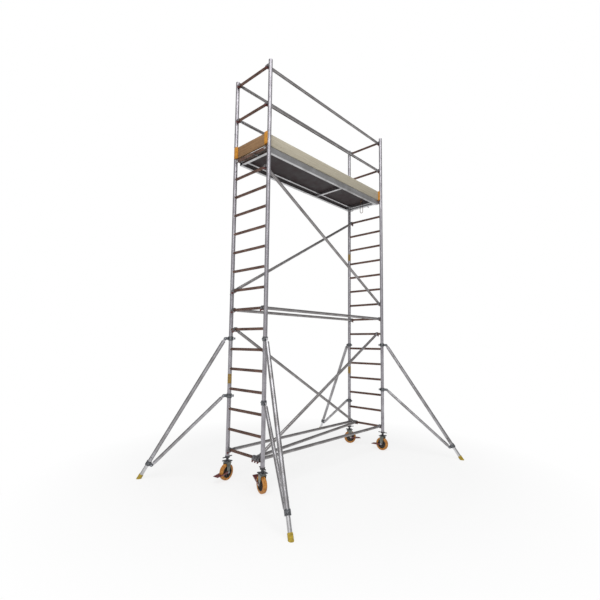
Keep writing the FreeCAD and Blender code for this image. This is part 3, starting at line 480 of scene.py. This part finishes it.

# ---- Deck and trapdoor
# Birch plywood, 12 mm, with a dark brown phenolic film and a raised mesh pressed in the top against slipping. The
# film is drawn darker than it is, as painted shade for the shadowed underside.
# The cut edges show the plies. Dirt and wear have left the film paler in patches.
deck_plywood, tree, shader, place = surface("film_faced_birch_plywood", {"Specular IOR Level": 0.4})
soil = add(tree, "ShaderNodeTexNoise", {"Scale": 9.0, "Detail": 7.0, "Roughness": 0.7}, {"Vector": place})
spread = add(tree, "ShaderNodeMapRange", {"From Min": 0.35, "From Max": 0.7}, {"Value": soil.outputs["Fac"]})
# These film browns hold painted shade: darker than the real film, to stand for the shade under the deck, and used
# on top and bottom alike.
film = add(tree, "ShaderNodeMix", {"data_type": "RGBA", 6: linear("#1D1013"), 7: linear("#332023")},
           {0: spread.outputs["Result"]})
# Nine plies in 12 mm: one light and one dark band every 2.7 mm.
plies = add(tree, "ShaderNodeTexWave", {"bands_direction": "Z", "Scale": 118.0, "Distortion": 0.3},
            {"Vector": place})
ply = add(tree, "ShaderNodeMix", {"data_type": "RGBA", 6: linear("#8A6440"), 7: linear("#C8A577")},
          {0: plies.outputs["Fac"]})
way = add(tree, "ShaderNodeSeparateXYZ", {}, {0: place.node.outputs["Normal"]})
flat = add(tree, "ShaderNodeMath", {"operation": "ABSOLUTE"}, {0: way.outputs["Z"]})
faced = add(tree, "ShaderNodeMath", {"operation": "GREATER_THAN", 1: 0.5}, {0: flat.outputs[0]})
tint = add(tree, "ShaderNodeMix", {"data_type": "RGBA"},
           {0: faced.outputs[0], 6: ply.outputs[2], 7: film.outputs[2]})
tree.links.new(tint.outputs[2], shader.inputs["Base Color"])
# The mesh's diamonds are 3 mm wide; drawn 9 mm wide, so that they show.
strands = []
for angle in (30, -30):
    slant = add(tree, "ShaderNodeMapping", {"Rotation": (0, 0, math.radians(angle))}, {"Vector": place})
    strands.append(add(tree, "ShaderNodeTexWave", {"bands_direction": "Y", "Scale": 35.0},
                       {"Vector": slant.outputs["Vector"]}))
crossing = add(tree, "ShaderNodeMath", {"operation": "MAXIMUM"},
               {0: strands[0].outputs["Fac"], 1: strands[1].outputs["Fac"]})
topside = add(tree, "ShaderNodeMath", {"operation": "GREATER_THAN", 1: 0.5}, {0: way.outputs["Z"]})
pressed = add(tree, "ShaderNodeMath", {"operation": "MULTIPLY"},
              {0: crossing.outputs[0], 1: topside.outputs[0]})
bump = add(tree, "ShaderNodeBump", {"Strength": 0.6, "Distance": 0.0006}, {"Height": pressed.outputs[0]})
tree.links.new(bump.outputs["Normal"], shader.inputs["Normal"])
rough = add(tree, "ShaderNodeMapRange", {"To Min": 0.5, "To Max": 0.72}, {"Value": spread.outputs["Result"]})
tree.links.new(rough.outputs["Result"], shader.inputs["Roughness"])
dress("deck_board", deck_plywood)
dress("hatch_panel", deck_plywood)

deck_low, deck_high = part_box("deck_board")
hinge_x = joints["trapdoor_hinge"]["pos_m"][0]
screws, long_edge, short_edge, first_row, pitch, sunk_by = [], 0.032, 0.03, 0.06, 0.15, 0.0004
for x in np.arange(deck_low.x + first_row, hinge_x - first_row, pitch):
    for y in (deck_low.y + long_edge, deck_high.y - long_edge):
        screws.append(facing((float(x), y, deck_high.z - sunk_by), (0, 0, 1)))
for y in np.linspace(deck_low.y + 2 * first_row, deck_high.y - 2 * first_row, 4):
    for x in (deck_low.x + short_edge, hinge_x - short_edge):
        screws.append(facing((x, float(y), deck_high.z - sunk_by), (0, 0, 1)))
repeat("deck_screws", rivet_head, screws, zinc_plate, "tower", "zinc_plated_steel", Radius=0.0065,
       Height=0.0014)

# ---- Pull ring and wind locks
# The trapdoor's ring is bent from zinc plated and yellow passivated wire, dulled to brown. The wind locks are hot
# dip galvanised plates, grey with the faint crystal spangle of the zinc.
passivated_steel = weathered_metal("yellow_passivated_steel", "#A98560", "#6B4C38", 0.35, (400, 400, 400), 0.05)
dress("hatch_ring", passivated_steel)


def galvanised(name, bright, dull, grain_per_metre):
    """Hot dip galvanised steel: crystals of slightly different greys, 8 mm or so across."""
    material, tree, shader, place = surface(name, {"Metallic": 0.9})
    crystals = add(tree, "ShaderNodeTexVoronoi", {"Scale": grain_per_metre}, {"Vector": place})
    shade = add(tree, "ShaderNodeSeparateColor", {}, {0: crystals.outputs["Color"]})
    soil = add(tree, "ShaderNodeTexNoise", {"Scale": 25.0, "Detail": 5.0}, {"Vector": place})
    both = add(tree, "ShaderNodeMath", {"operation": "MULTIPLY"}, {0: shade.outputs[0], 1: soil.outputs["Fac"]})
    spread = add(tree, "ShaderNodeMapRange", {"From Max": 0.5}, {"Value": both.outputs[0]})
    tint = add(tree, "ShaderNodeMix", {"data_type": "RGBA", 6: linear(dull), 7: linear(bright)},
               {0: spread.outputs["Result"]})
    rough = add(tree, "ShaderNodeMapRange", {"To Min": 0.58, "To Max": 0.4},
                {"Value": spread.outputs["Result"]})
    tree.links.new(tint.outputs[2], shader.inputs["Base Color"])
    tree.links.new(rough.outputs["Result"], shader.inputs["Roughness"])
    return material


galvanised_steel = galvanised("galvanised_steel", "#9A9DA0", "#5B5D60", 120.0)
for side in ("left", "right"):
    softened(f"wind_lock_{side}", galvanised_steel, 0.0006)


# ---- Toe boards
# Planed pine boards, 150 by 24 mm, left bare and greyed by weather. The grain runs along each board, with small
# knots; the ends of the tower get shorter, browner boards.
def weathered_pine(name, early, late, knot, along):
    """Planed pine with its grain along X (0) or Y (1): rings about 9 mm apart and long drawn fibres."""
    material, tree, shader, place = surface(name, {"Roughness": 0.78, "Specular IOR Level": 0.3})
    drawn = [1.0, 1.0, 1.0]
    drawn[along] = 0.07
    grain = add(tree, "ShaderNodeMapping", {"Scale": drawn}, {"Vector": place})
    rings = add(tree, "ShaderNodeTexWave",
                {"bands_direction": "Z", "Scale": 17.0, "Distortion": 7.0, "Detail": 3.0,
                                            "Detail Scale": 3.0}, {"Vector": grain.outputs["Vector"]})
    fibre = add(tree, "ShaderNodeTexNoise", {"Scale": 260.0, "Detail": 3.0},
                {"Vector": grain.outputs["Vector"]})
    figure = add(tree, "ShaderNodeMath", {"operation": "MULTIPLY_ADD", 1: 0.55},
                 {0: rings.outputs["Fac"], 2: add(tree, "ShaderNodeMath", {"operation": "MULTIPLY", 1: 0.45},
                                                  {0: fibre.outputs["Fac"]}).outputs[0]})
    wood = add(tree, "ShaderNodeMix", {"data_type": "RGBA", 6: linear(early), 7: linear(late)},
               {0: figure.outputs[0]})
    drawn[along] = 0.5
    knots_at = add(tree, "ShaderNodeMapping", {"Scale": drawn}, {"Vector": place})
    knots = add(tree, "ShaderNodeTexVoronoi", {"Scale": 5.5}, {"Vector": knots_at.outputs["Vector"]})
    spots = add(tree, "ShaderNodeMapRange", {"From Min": 0.03, "From Max": 0.07, "To Min": 1.0, "To Max": 0.0},
                {"Value": knots.outputs["Distance"]})
    tint = add(tree, "ShaderNodeMix", {"data_type": "RGBA", 7: linear(knot)},
               {0: spots.outputs["Result"], 6: wood.outputs[2]})
    bump = add(tree, "ShaderNodeBump", {"Strength": 0.4, "Distance": 0.0005}, {"Height": figure.outputs[0]})
    tree.links.new(tint.outputs[2], shader.inputs["Base Color"])
    tree.links.new(bump.outputs["Normal"], shader.inputs["Normal"])
    return material


long_board_pine = weathered_pine("greyed_pine_long_boards", "#C2BBAA", "#A39B87", "#7D6B55", 0)
end_board_pine = weathered_pine("browned_pine_end_boards", "#A5835F", "#7D5D40", "#5A4029", 1)
softened("toe_boards", long_board_pine, 0.002, lambda low, high: high[0] - low[0] > 1,
         "long_toe_boards")
softened("toe_boards", end_board_pine, 0.002, lambda low, high: high[0] - low[0] < 1,
         "end_toe_boards")

# ---- Toe board clips
# Orange polypropylene corner clips, moulded round the stile and both boards. Matt, with a fine eroded texture and
# sun-faded patches.
clip_plastic, tree, shader, place = surface("orange_polypropylene", {"Roughness": 0.5})
fade = add(tree, "ShaderNodeTexNoise", {"Scale": 22.0, "Detail": 5.0}, {"Vector": place})
spread = add(tree, "ShaderNodeMapRange", {"From Min": 0.35, "From Max": 0.65}, {"Value": fade.outputs["Fac"]})
tint = add(tree, "ShaderNodeMix", {"data_type": "RGBA", 6: linear("#BE7A1A"), 7: linear("#DB9A30")},
           {0: spread.outputs["Result"]})
pits = add(tree, "ShaderNodeTexNoise", {"Scale": 900.0}, {"Vector": place})
bump = add(tree, "ShaderNodeBump", {"Strength": 0.3, "Distance": 0.0003}, {"Height": pits.outputs["Fac"]})
tree.links.new(tint.outputs[2], shader.inputs["Base Color"])
tree.links.new(bump.outputs["Normal"], shader.inputs["Normal"])
softened("toe_board_clips", clip_plastic, 0.0012)

# ---- Castor wheels
# Orange cast polyurethane tyres on dark moulded nylon centres, 200 mm across. Grit and dust have dulled
# the colour in patches.
def lathe(profile, place, steps):
    """A closed shell turned about a place's Z from (height, radius) points in a closed row."""
    points = [place @ Vector((r * math.cos(a), r * math.sin(a), z))
              for a in (2 * math.pi * i / steps for i in range(steps)) for z, r in profile]
    n = len(profile)
    faces = [(i * n + k, i * n + (k + 1) % n, (i + 1) % steps * n + (k + 1) % n, (i + 1) % steps * n + k)
             for i in range(steps) for k in range(n)]
    return [tuple(point) for point in points], faces


tyre_polyurethane, tree, shader, place = surface("cast_polyurethane", {"Roughness": 0.5})
grit = add(tree, "ShaderNodeTexNoise", {"Scale": 35.0, "Detail": 7.0, "Roughness": 0.7}, {"Vector": place})
spread = add(tree, "ShaderNodeMapRange", {"From Min": 0.38, "From Max": 0.62}, {"Value": grit.outputs["Fac"]})
tint = add(tree, "ShaderNodeMix", {"data_type": "RGBA", 6: linear("#A8692B"), 7: linear("#D8963F")},
           {0: spread.outputs["Result"]})
rough = add(tree, "ShaderNodeMapRange", {"To Min": 0.62, "To Max": 0.42}, {"Value": spread.outputs["Result"]})
tree.links.new(tint.outputs[2], shader.inputs["Base Color"])
tree.links.new(rough.outputs["Result"], shader.inputs["Roughness"])

hub_nylon, tree, shader, place = surface("moulded_nylon_hub", {"Roughness": 0.48})
dust = add(tree, "ShaderNodeTexNoise", {"Scale": 45.0, "Detail": 6.0}, {"Vector": place})
spread = add(tree, "ShaderNodeMapRange", {"From Min": 0.4, "From Max": 0.7}, {"Value": dust.outputs["Fac"]})
tint = add(tree, "ShaderNodeMix", {"data_type": "RGBA", 6: linear("#37322F"), 7: linear("#5C5148")},
           {0: spread.outputs["Result"]})
tree.links.new(tint.outputs[2], shader.inputs["Base Color"])

bar, given = new_shape("bar", Length=0.02, Width=0.004, Height=0.01)
extent = add(bar, "ShaderNodeCombineXYZ", {}, {"X": given["Length"], "Y": given["Width"], "Z": given["Height"]})
stick = add(bar, "GeometryNodeMeshCube", {}, {"Size": extent.outputs[0]})
at_places(bar, given, stick.outputs["Mesh"])

for corner in corners:
    roll = joints[corner + "_wheel_roll"]
    axle = facing(roll["pos_m"], roll["axis"])
    low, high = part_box("castor_tyre_" + corner)
    outer = (high.z - low.z) / 2
    inner = 0.7 * outer + 0.0003
    half = 0.24 * outer
    side = [(0.0, 1.0), (0.33, 1.0), (0.36, 0.984), (0.43, 0.984), (0.46, 0.999), (0.65, 0.996), (0.82, 0.982),
            (0.94, 0.95), (1.0, 0.9), (1.0, 0.79), (0.96, 0.78), (0.96, 0.74), (0.98, 0.73)]
    row = [(half * z, outer * r) for z, r in side] + [(half * 0.95, inner), (-half * 0.95, inner)]
    row += [(-half * z, outer * r) for z, r in reversed(side[1:])]
    tyre = plain_mesh("tyre_" + corner, [lathe(row, axle, 72)], tyre_polyurethane)
    show(tyre.name, tyre, corner + "_wheel", ["castor_tyre_" + corner])

    # rim, dished web and boss, bored for the axle, with eight ribs on each face
    hub_side = [(0.2, 0.7), (0.2, 0.655), (0.19, 0.64), (0.05, 0.62), (0.05, 0.24), (0.27, 0.205),
                (0.285, 0.19),
                (0.29, 0.07)]
    row = [(outer * z, outer * r) for z, r in hub_side] + [(-outer * z, outer * r) for z,
           r in reversed(hub_side)]
    hub = plain_mesh("hub_" + corner, [lathe(row, axle, 64)], hub_nylon)
    show(hub.name, hub, corner + "_wheel", ["castor_hub_" + corner])
    ribs = []
    for i in range(16):
        turn = Matrix.Rotation(math.radians(45 * i + 22.5), 4, "Z")
        face = 0.0105 if i < 8 else -0.0105
        ribs.append(axle @ turn @ Matrix.Translation((0.43 * outer, 0, face)))
    repeat("hub_ribs_" + corner, bar, ribs, hub_nylon, corner + "_wheel", "hub_plastic",
           Length=0.42 * outer, Width=0.004, Height=0.013)

# ---- Castor forks and their bolts
# Pressed steel forks, zinc plated and chromated to a greenish grey. The axle is a bolt with a hexagon head and
# a locking nut.
chromated_steel = weathered_metal("chromated_zinc_steel", "#9C9F97", "#5F625C", 0.4, (90, 90, 90), 0.1, 0.85)

hex_head, given = new_shape("hex_head", Radius=0.009, Height=0.006)
prism = add(hex_head, "GeometryNodeMeshCylinder", {"Vertices": 6},
            {"Radius": given["Radius"], "Depth": given["Height"]})
lift = add(hex_head, "ShaderNodeMath", {"operation": "MULTIPLY", 1: 0.5}, {0: given["Height"]})
rise = add(hex_head, "ShaderNodeCombineXYZ", {}, {"Z": lift.outputs[0]})
head = add(hex_head, "GeometryNodeTransform", {},
           {"Geometry": prism.outputs["Mesh"], "Translation": rise.outputs[0]})
wide = add(hex_head, "ShaderNodeMath", {"operation": "MULTIPLY", 1: 1.25}, {0: given["Radius"]})
thin = add(hex_head, "ShaderNodeMath", {"operation": "MULTIPLY", 1: 0.3}, {0: given["Height"]})
washer = add(hex_head, "GeometryNodeMeshCylinder", {"Vertices": 16},
             {"Radius": wide.outputs[0], "Depth": thin.outputs[0]})
narrow = add(hex_head, "ShaderNodeMath", {"operation": "MULTIPLY", 1: 0.5}, {0: given["Radius"]})
tall = add(hex_head, "ShaderNodeMath", {"operation": "MULTIPLY", 1: 2.3}, {0: given["Height"]})
stub = add(hex_head, "GeometryNodeMeshCylinder", {"Vertices": 10},
           {"Radius": narrow.outputs[0], "Depth": tall.outputs[0]})
bolt = add(hex_head, "GeometryNodeJoinGeometry")
for part in (head.outputs[0], washer.outputs["Mesh"], stub.outputs["Mesh"]):
    hex_head.links.new(part, bolt.inputs[0])
at_places(hex_head, given, bolt.outputs[0])


def landing(node, start, aim, across=(0, 0, 1)):
    """Where a line from start along aim meets a CAD node: a place with Z off its surface."""
    mesh = frame["nodes"][node].data
    shell = BVHTree.FromPolygons([v.co for v in mesh.vertices], [p.vertices for p in mesh.polygons])
    point, normal, _, _ = shell.ray_cast(Vector(start), Vector(aim))
    return facing(point, -Vector(aim) if normal is None else normal, across)


for corner in corners:
    softened("castor_fork_" + corner, chromated_steel, 0.0008)
    roll = joints[corner + "_wheel_roll"]
    centre, axis = Vector(roll["pos_m"]), Vector(roll["axis"])
    ends = [landing("castor_fork_" + corner, centre + axis * out * 0.2, axis * -out) for out in (-1, 1)]
    ends = [end @ Matrix.Translation((0, 0, -0.0045)) for end in ends]
    repeat("axle_nuts_" + corner, hex_head, ends, zinc_plate, corner + "_fork", "zinc_plated_steel",
           Radius=0.0105, Height=0.0046)

# ---- Levelling spindles and top plates
# Steel stems with a rolled 8 mm thread run up inside the stiles; each is welded to the castor's square top plate,
# held by four bolts. Oil and dust have darkened the plate and thread.
oiled_steel = weathered_metal("oiled_steel", "#7B7C7E", "#3B3B3D", 0.42, (220, 220, 220), 0.15, 0.9)

thread, given = new_shape("thread", Core=0.0156, Ridge=0.0019, Pitch=0.008, Length=0.42)
turns = add(thread, "ShaderNodeMath", {"operation": "DIVIDE"}, {0: given["Length"], 1: given["Pitch"]})
helix = add(thread, "GeometryNodeCurveSpiral", {"Resolution": 18},
            {"Rotations": turns.outputs[0], "Start Radius": given["Core"], "End Radius": given["Core"],
             "Height": given["Length"]})
crest = add(thread, "GeometryNodeCurvePrimitiveCircle", {"Resolution": 6}, {"Radius": given["Ridge"]})
ridge = add(thread, "GeometryNodeCurveToMesh", {"Fill Caps": True},
            {"Curve": helix.outputs[0], "Profile Curve": crest.outputs[0]})
core = add(thread, "GeometryNodeMeshCylinder", {"Vertices": 28},
           {"Radius": given["Core"], "Depth": given["Length"]})
half = add(thread, "ShaderNodeMath", {"operation": "MULTIPLY", 1: 0.5}, {0: given["Length"]})
rise = add(thread, "ShaderNodeCombineXYZ", {}, {"Z": half.outputs[0]})
stem = add(thread, "GeometryNodeTransform", {},
           {"Geometry": core.outputs["Mesh"], "Translation": rise.outputs[0]})
whole = add(thread, "GeometryNodeJoinGeometry")
for part in (ridge.outputs[0], stem.outputs[0]):
    thread.links.new(part, whole.inputs[0])
at_places(thread, given, whole.outputs[0])

for corner in corners:
    node = "castor_spindle_" + corner
    axis = stile_axis[corner]
    form = merged(node)
    plate_top = max(v.co.z for v in form.verts if (v.co.xy - axis.xy).length > 0.04)
    bmesh.ops.delete(form, geom=[v for v in form.verts if v.co.z > plate_top + 1e-4], context="VERTS")
    bmesh.ops.holes_fill(form, edges=[edge for edge in form.edges if edge.is_boundary], sides=0)
    plate = rounded("top_plate_" + corner, form, 0.0008, 0.0, oiled_steel)
    show(plate.name, plate, corner + "_spindle", [node])
    start = Matrix.Translation((axis.x, axis.y, plate_top - 0.001))
    repeat("spindle_thread_" + corner, thread, [start], oiled_steel, corner + "_spindle", "galvanised_steel",
           Length=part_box(node)[1].z - plate_top)
    heading = Vector(joints[corner + "_wheel_roll"]["axis"])
    across = heading.cross(Vector((0, 0, 1)))
    bolts = [facing(axis + (heading * i + across * j) * 0.037 + Vector((0, 0, plate_top)), (0, 0, 1))
             for i in (-1, 1) for j in (-1, 1)]
    repeat("plate_bolts_" + corner, hex_head, bolts, zinc_plate, corner + "_spindle", "zinc_plated_steel",
           Radius=0.0075, Height=0.0055)

# ---- Levelling nuts
# Cast iron wing nuts under each stile, dip painted dark grey, with the paint chipped in spots.
nut_iron, tree, shader, place = surface("painted_cast_iron", {"Metallic": 0.2})
chips = add(tree, "ShaderNodeTexNoise", {"Scale": 70.0, "Detail": 6.0, "Roughness": 0.7}, {"Vector": place})
spread = add(tree, "ShaderNodeMapRange", {"From Min": 0.52, "From Max": 0.66}, {"Value": chips.outputs["Fac"]})
tint = add(tree, "ShaderNodeMix", {"data_type": "RGBA", 6: linear("#3A3A3E"), 7: linear("#77706A")},
           {0: spread.outputs["Result"]})
bump = add(tree, "ShaderNodeBump", {"Strength": 0.5, "Distance": 0.0006}, {"Height": chips.outputs["Fac"]})
rough = add(tree, "ShaderNodeMapRange", {"To Min": 0.42, "To Max": 0.66}, {"Value": spread.outputs["Result"]})
tree.links.new(tint.outputs[2], shader.inputs["Base Color"])
tree.links.new(rough.outputs["Result"], shader.inputs["Roughness"])
tree.links.new(bump.outputs["Normal"], shader.inputs["Normal"])
for corner in corners:
    softened("levelling_nut_" + corner, nut_iron, 0.0018)

# ---- Brake pedals
# Pressed steel pedals in dark red enamel, chipped to bare metal in spots. Raised bars across the tread
# stop a boot from slipping.
pedal_enamel, tree, shader, place = surface("dark_red_enamel", {"Roughness": 0.36, "Coat Weight": 0.25})
chips = add(tree, "ShaderNodeTexNoise", {"Scale": 90.0, "Detail": 6.0, "Roughness": 0.7}, {"Vector": place})
spread = add(tree, "ShaderNodeMapRange", {"From Min": 0.56, "From Max": 0.64}, {"Value": chips.outputs["Fac"]})
tint = add(tree, "ShaderNodeMix", {"data_type": "RGBA", 6: linear("#6B2423"), 7: linear("#8B7F7C")},
           {0: spread.outputs["Result"]})
tree.links.new(tint.outputs[2], shader.inputs["Base Color"])
for corner in corners:
    node = "castor_pedal_" + corner
    roll = joints[corner + "_wheel_roll"]
    axle, across = Vector(roll["pos_m"]), Vector(roll["axis"])
    points = [Vector(p) for p in solids(node)[0]]
    tip = max((point - axle - across * (point - axle).dot(across) for point in points), key=lambda v: v.length)
    along = tip.normalized()
    up = along.cross(across) if along.cross(across).z > 0 else across.cross(along)
    tip_inset, bar_pitch, above = 0.008, 0.012, 0.06
    bars = [landing(node, axle + along * (tip.length - tip_inset - bar_pitch * i) + up * above, -up, across)
            for i in range(5)]
    softened(node, pedal_enamel, 0.001)
    low_bars = [place @ Matrix.Translation((0, 0, 0.0005)) for place in bars]
    repeat("pedal_grips_" + corner, bar, low_bars, pedal_enamel, corner + "_pedal", "pedal_steel",
           Length=0.066, Width=0.004, Height=0.0028)

# ---- Outrigger tubes, struts and legs
# Aluminium tubes: a long outer tube with its end flattened, a thinner strut, and a leg that slides in the outer
# tube. The legs are the brightest, since the outer tube keeps them clean.
outrigger_aluminium = weathered_metal("drawn_outrigger_aluminium", "#BAB9BD", "#8A8787", 0.36, (200, 200, 40),
                                      0.12)
leg_aluminium = weathered_metal("clean_leg_aluminium", "#DCDCDF", "#B2B0B0", 0.3, (200, 200, 40), 0.1)
for corner in corners:
    dress("outrigger_tube_" + corner, outrigger_aluminium)
    dress("outrigger_strut_" + corner, outrigger_aluminium)
    dress("outrigger_leg_" + corner, leg_aluminium)
    slide = Vector(joints[corner + "_leg_slide"]["axis"])
    sideways = slide.cross(Vector((0, 0, 1))).normalized()
    middle = Vector(solids("outrigger_tube_" + corner)[0].mean(0))
    tube_points = np.array([v.co[:] for v in frame["nodes"]["outrigger_tube_" + corner].data.vertices])
    reach = float(((tube_points - np.array(middle)) @ np.array(slide)).max())
    buttons = []
    for back in (0.11, 0.15, 0.5, 0.53):
        for out in (sideways, -sideways):
            start = middle + slide * (reach - back) + out * 0.1
            buttons.append(landing("outrigger_tube_" + corner, start, -out))
    repeat("tube_buttons_" + corner, rivet_head, buttons, oiled_steel, corner + "_outrigger",
           "galvanised_steel",
           Radius=0.0062, Height=0.0026)

# ---- Outrigger couplers and collars
# Cast and galvanised steel: two hinged couplers grip the stile and a collar joins strut and tube. Dark grey, with
# bright hexagon nuts on the coupler bolts and pivot pins.
coupler_steel = galvanised("dark_galvanised_castings", "#85878A", "#46484C", 140.0)
for corner in corners:
    node = "outrigger_clamps_" + corner
    nuts = []
    for points in solids(node):
        low, high = points.min(0), points.max(0)
        middle, size = Vector((low + high) / 2), high - low
        if size[2] < 0.03:
            axis = Vector(np.linalg.svd(points - points.mean(0), full_matrices=False)[2][0])
            axis = axis if abs(axis.z) < 0.2 else Vector((1, 0, 0))
            half = float(np.abs((points - np.array(middle)) @ np.array(axis)).max())
            nuts += [facing(middle + axis * out * (half - 0.0035), axis * out) for out in (-1, 1)]
    softened(node, coupler_steel, 0.001)
    repeat("coupler_nuts_" + corner, hex_head, nuts, zinc_plate, corner + "_outrigger", "zinc_plated_steel",
           Radius=0.0078, Height=0.0042)

# ---- Outrigger feet
# Yellow natural rubber ferrules pushed on the legs, with moulded grooves round them, ground flat where they
# stand. Dull, and dirty in patches.
foot_rubber, tree, shader, place = surface("yellow_rubber", {"Roughness": 0.7, "Specular IOR Level": 0.3})
dirt = add(tree, "ShaderNodeTexNoise", {"Scale": 55.0, "Detail": 6.0, "Roughness": 0.7}, {"Vector": place})
spread = add(tree, "ShaderNodeMapRange", {"From Min": 0.35, "From Max": 0.6}, {"Value": dirt.outputs["Fac"]})
tint = add(tree, "ShaderNodeMix", {"data_type": "RGBA", 6: linear("#8E7A34"), 7: linear("#C9AE45")},
           {0: spread.outputs["Result"]})
tree.links.new(tint.outputs[2], shader.inputs["Base Color"])
for corner in corners:
    node = "outrigger_foot_" + corner
    slide = Vector(joints[corner + "_leg_slide"]["axis"])
    leg_points = solids("outrigger_leg_" + corner)[0]
    middle = (leg_points.min(0) + leg_points.max(0)) / 2
    foot_points = solids(node)[0]
    heights = (foot_points - middle) @ np.array(slide)
    low, high = float(heights.min()), float(heights.max())
    radius = float(np.linalg.norm(foot_points - middle - np.outer(heights, np.array(slide)), axis=1).max())
    length = high - low
    row = [(0.0, 0.0), (0.0, 0.86), (0.03, 0.95), (0.1, 0.98)]
    for k in range(4):
        t = 0.16 + 0.15 * k
        row += [(t, 0.985), (t + 0.015, 0.92), (t + 0.055, 0.92), (t + 0.07, 0.985)]
    row += [(0.85, 1.0), (1.0, 1.0), (1.0, 0.0)]
    start = facing(Vector(middle) + slide * low, slide)
    points, faces = lathe([(length * t, radius * r) for t, r in row], start, 40)
    foot = plain_mesh("foot_" + corner, [(points, faces)], foot_rubber)
    form = bmesh.new()
    form.from_mesh(foot)
    bmesh.ops.bisect_plane(form, geom=form.verts[:] + form.edges[:] + form.faces[:], plane_co=(0, 0, 0.0002),
                           plane_no=(0, 0, -1), clear_outer=True)
    bmesh.ops.holes_fill(form, edges=[edge for edge in form.edges if edge.is_boundary], sides=0)
    bmesh.ops.recalc_face_normals(form, faces=form.faces)
    form.to_mesh(foot)
    form.free()
    show(foot.name, foot, corner + "_leg", [node])

# ---- Floor, light and camera
# A white studio floor that runs into the white background, soft overhead and side light, and the camera at a
# standing person's eye height in front of the left end.
floor_points = [(-30.0, -30.0, 0.0), (30.0, -30.0, 0.0), (30.0, 30.0, 0.0), (-30.0, 30.0, 0.0)]
floor_mesh = bpy.data.meshes.new("studio_floor")
floor_mesh.from_pydata(floor_points, [], [(0, 1, 2, 3)])
floor_paint, tree, shader, place = surface("white_studio_floor", {"Roughness": 0.9, "Specular IOR Level": 0.0})
shader.inputs["Base Color"].default_value = linear("#F7F7F7")
rays = add(tree, "ShaderNodeLightPath")
seen = add(tree, "ShaderNodeMath", {"operation": "MAXIMUM"},
           {0: rays.outputs["Is Camera Ray"], 1: rays.outputs["Is Glossy Ray"]})
out_from = add(tree, "ShaderNodeVectorMath", {"operation": "LENGTH"}, {0: place})
far = add(tree, "ShaderNodeMapRange", {"From Min": 2.0, "From Max": 3.6, "To Min": 0.78},
          {"Value": out_from.outputs["Value"]})
fading = add(tree, "ShaderNodeMath", {"operation": "MULTIPLY"}, {0: seen.outputs[0], 1: far.outputs["Result"]})
white = add(tree, "ShaderNodeEmission", {"Strength": 1.0})
both = add(tree, "ShaderNodeMixShader", {}, {0: fading.outputs[0], 1: shader.outputs[0], 2: white.outputs[0]})
tree.links.new(both.outputs[0], tree.nodes["Material Output"].inputs["Surface"])
floor_mesh.materials.append(floor_paint)
floor = bpy.data.objects.new("studio_floor", floor_mesh)
bpy.context.scene.collection.objects.link(floor)
floor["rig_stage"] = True

world = bpy.data.worlds.new("white_studio")
world.use_nodes = True
bpy.context.scene.world = world
backdrop = world.node_tree.nodes["Background"]
rays = add(world.node_tree, "ShaderNodeLightPath")
seen = add(world.node_tree, "ShaderNodeMath", {"operation": "MAXIMUM"},
           {0: rays.outputs["Is Camera Ray"], 1: rays.outputs["Is Transmission Ray"]})
level = add(world.node_tree, "ShaderNodeMapRange", {"To Min": 0.42, "To Max": 1.0}, {"Value": seen.outputs[0]})
world.node_tree.links.new(level.outputs["Result"], backdrop.inputs["Strength"])
backdrop.inputs["Color"].default_value = (1, 1, 1, 1)

middle = (cad_low + cad_high) / 2
for name, way, distance, size, watts in (("overhead_softbox", (-0.5, -0.6, 1.0), 8.0, 8.0, 460.0),
                                         ("side_softbox", (-1.0, -0.5, 0.25), 8.0, 7.0, 90.0)):
    lamp = bpy.data.lights.new(name, "AREA")
    lamp.size, lamp.energy = size, watts
    holder = bpy.data.objects.new(name, lamp)
    holder.location = middle + Vector(way).normalized() * distance
    holder.rotation_mode = "QUATERNION"
    holder.rotation_quaternion = (middle - holder.location).to_track_quat("-Z", "Y")
    bpy.context.scene.collection.objects.link(holder)

lens = bpy.data.cameras.new("eye_height_camera")
lens.lens, lens.sensor_width = 23.57, 36.0
lens.shift_x, lens.shift_y = -0.0118, 0.0090
lens.clip_start, lens.clip_end = 0.1, 100.0
camera = bpy.data.objects.new("eye_height_camera", lens)
eye = Vector((-4.2298, -3.7841, 1.704))
heading = Matrix(((0.67473, -0.07730, -0.73400), (-0.73800, -0.05723, -0.67237), (0.00997, 0.99536, -0.09566)))
camera.matrix_world = Matrix.Translation(eye) @ heading.to_4x4()
bpy.context.scene.collection.objects.link(camera)
bpy.context.scene.camera = camera
bpy.context.scene.view_settings.view_transform = "Standard"

low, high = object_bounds()
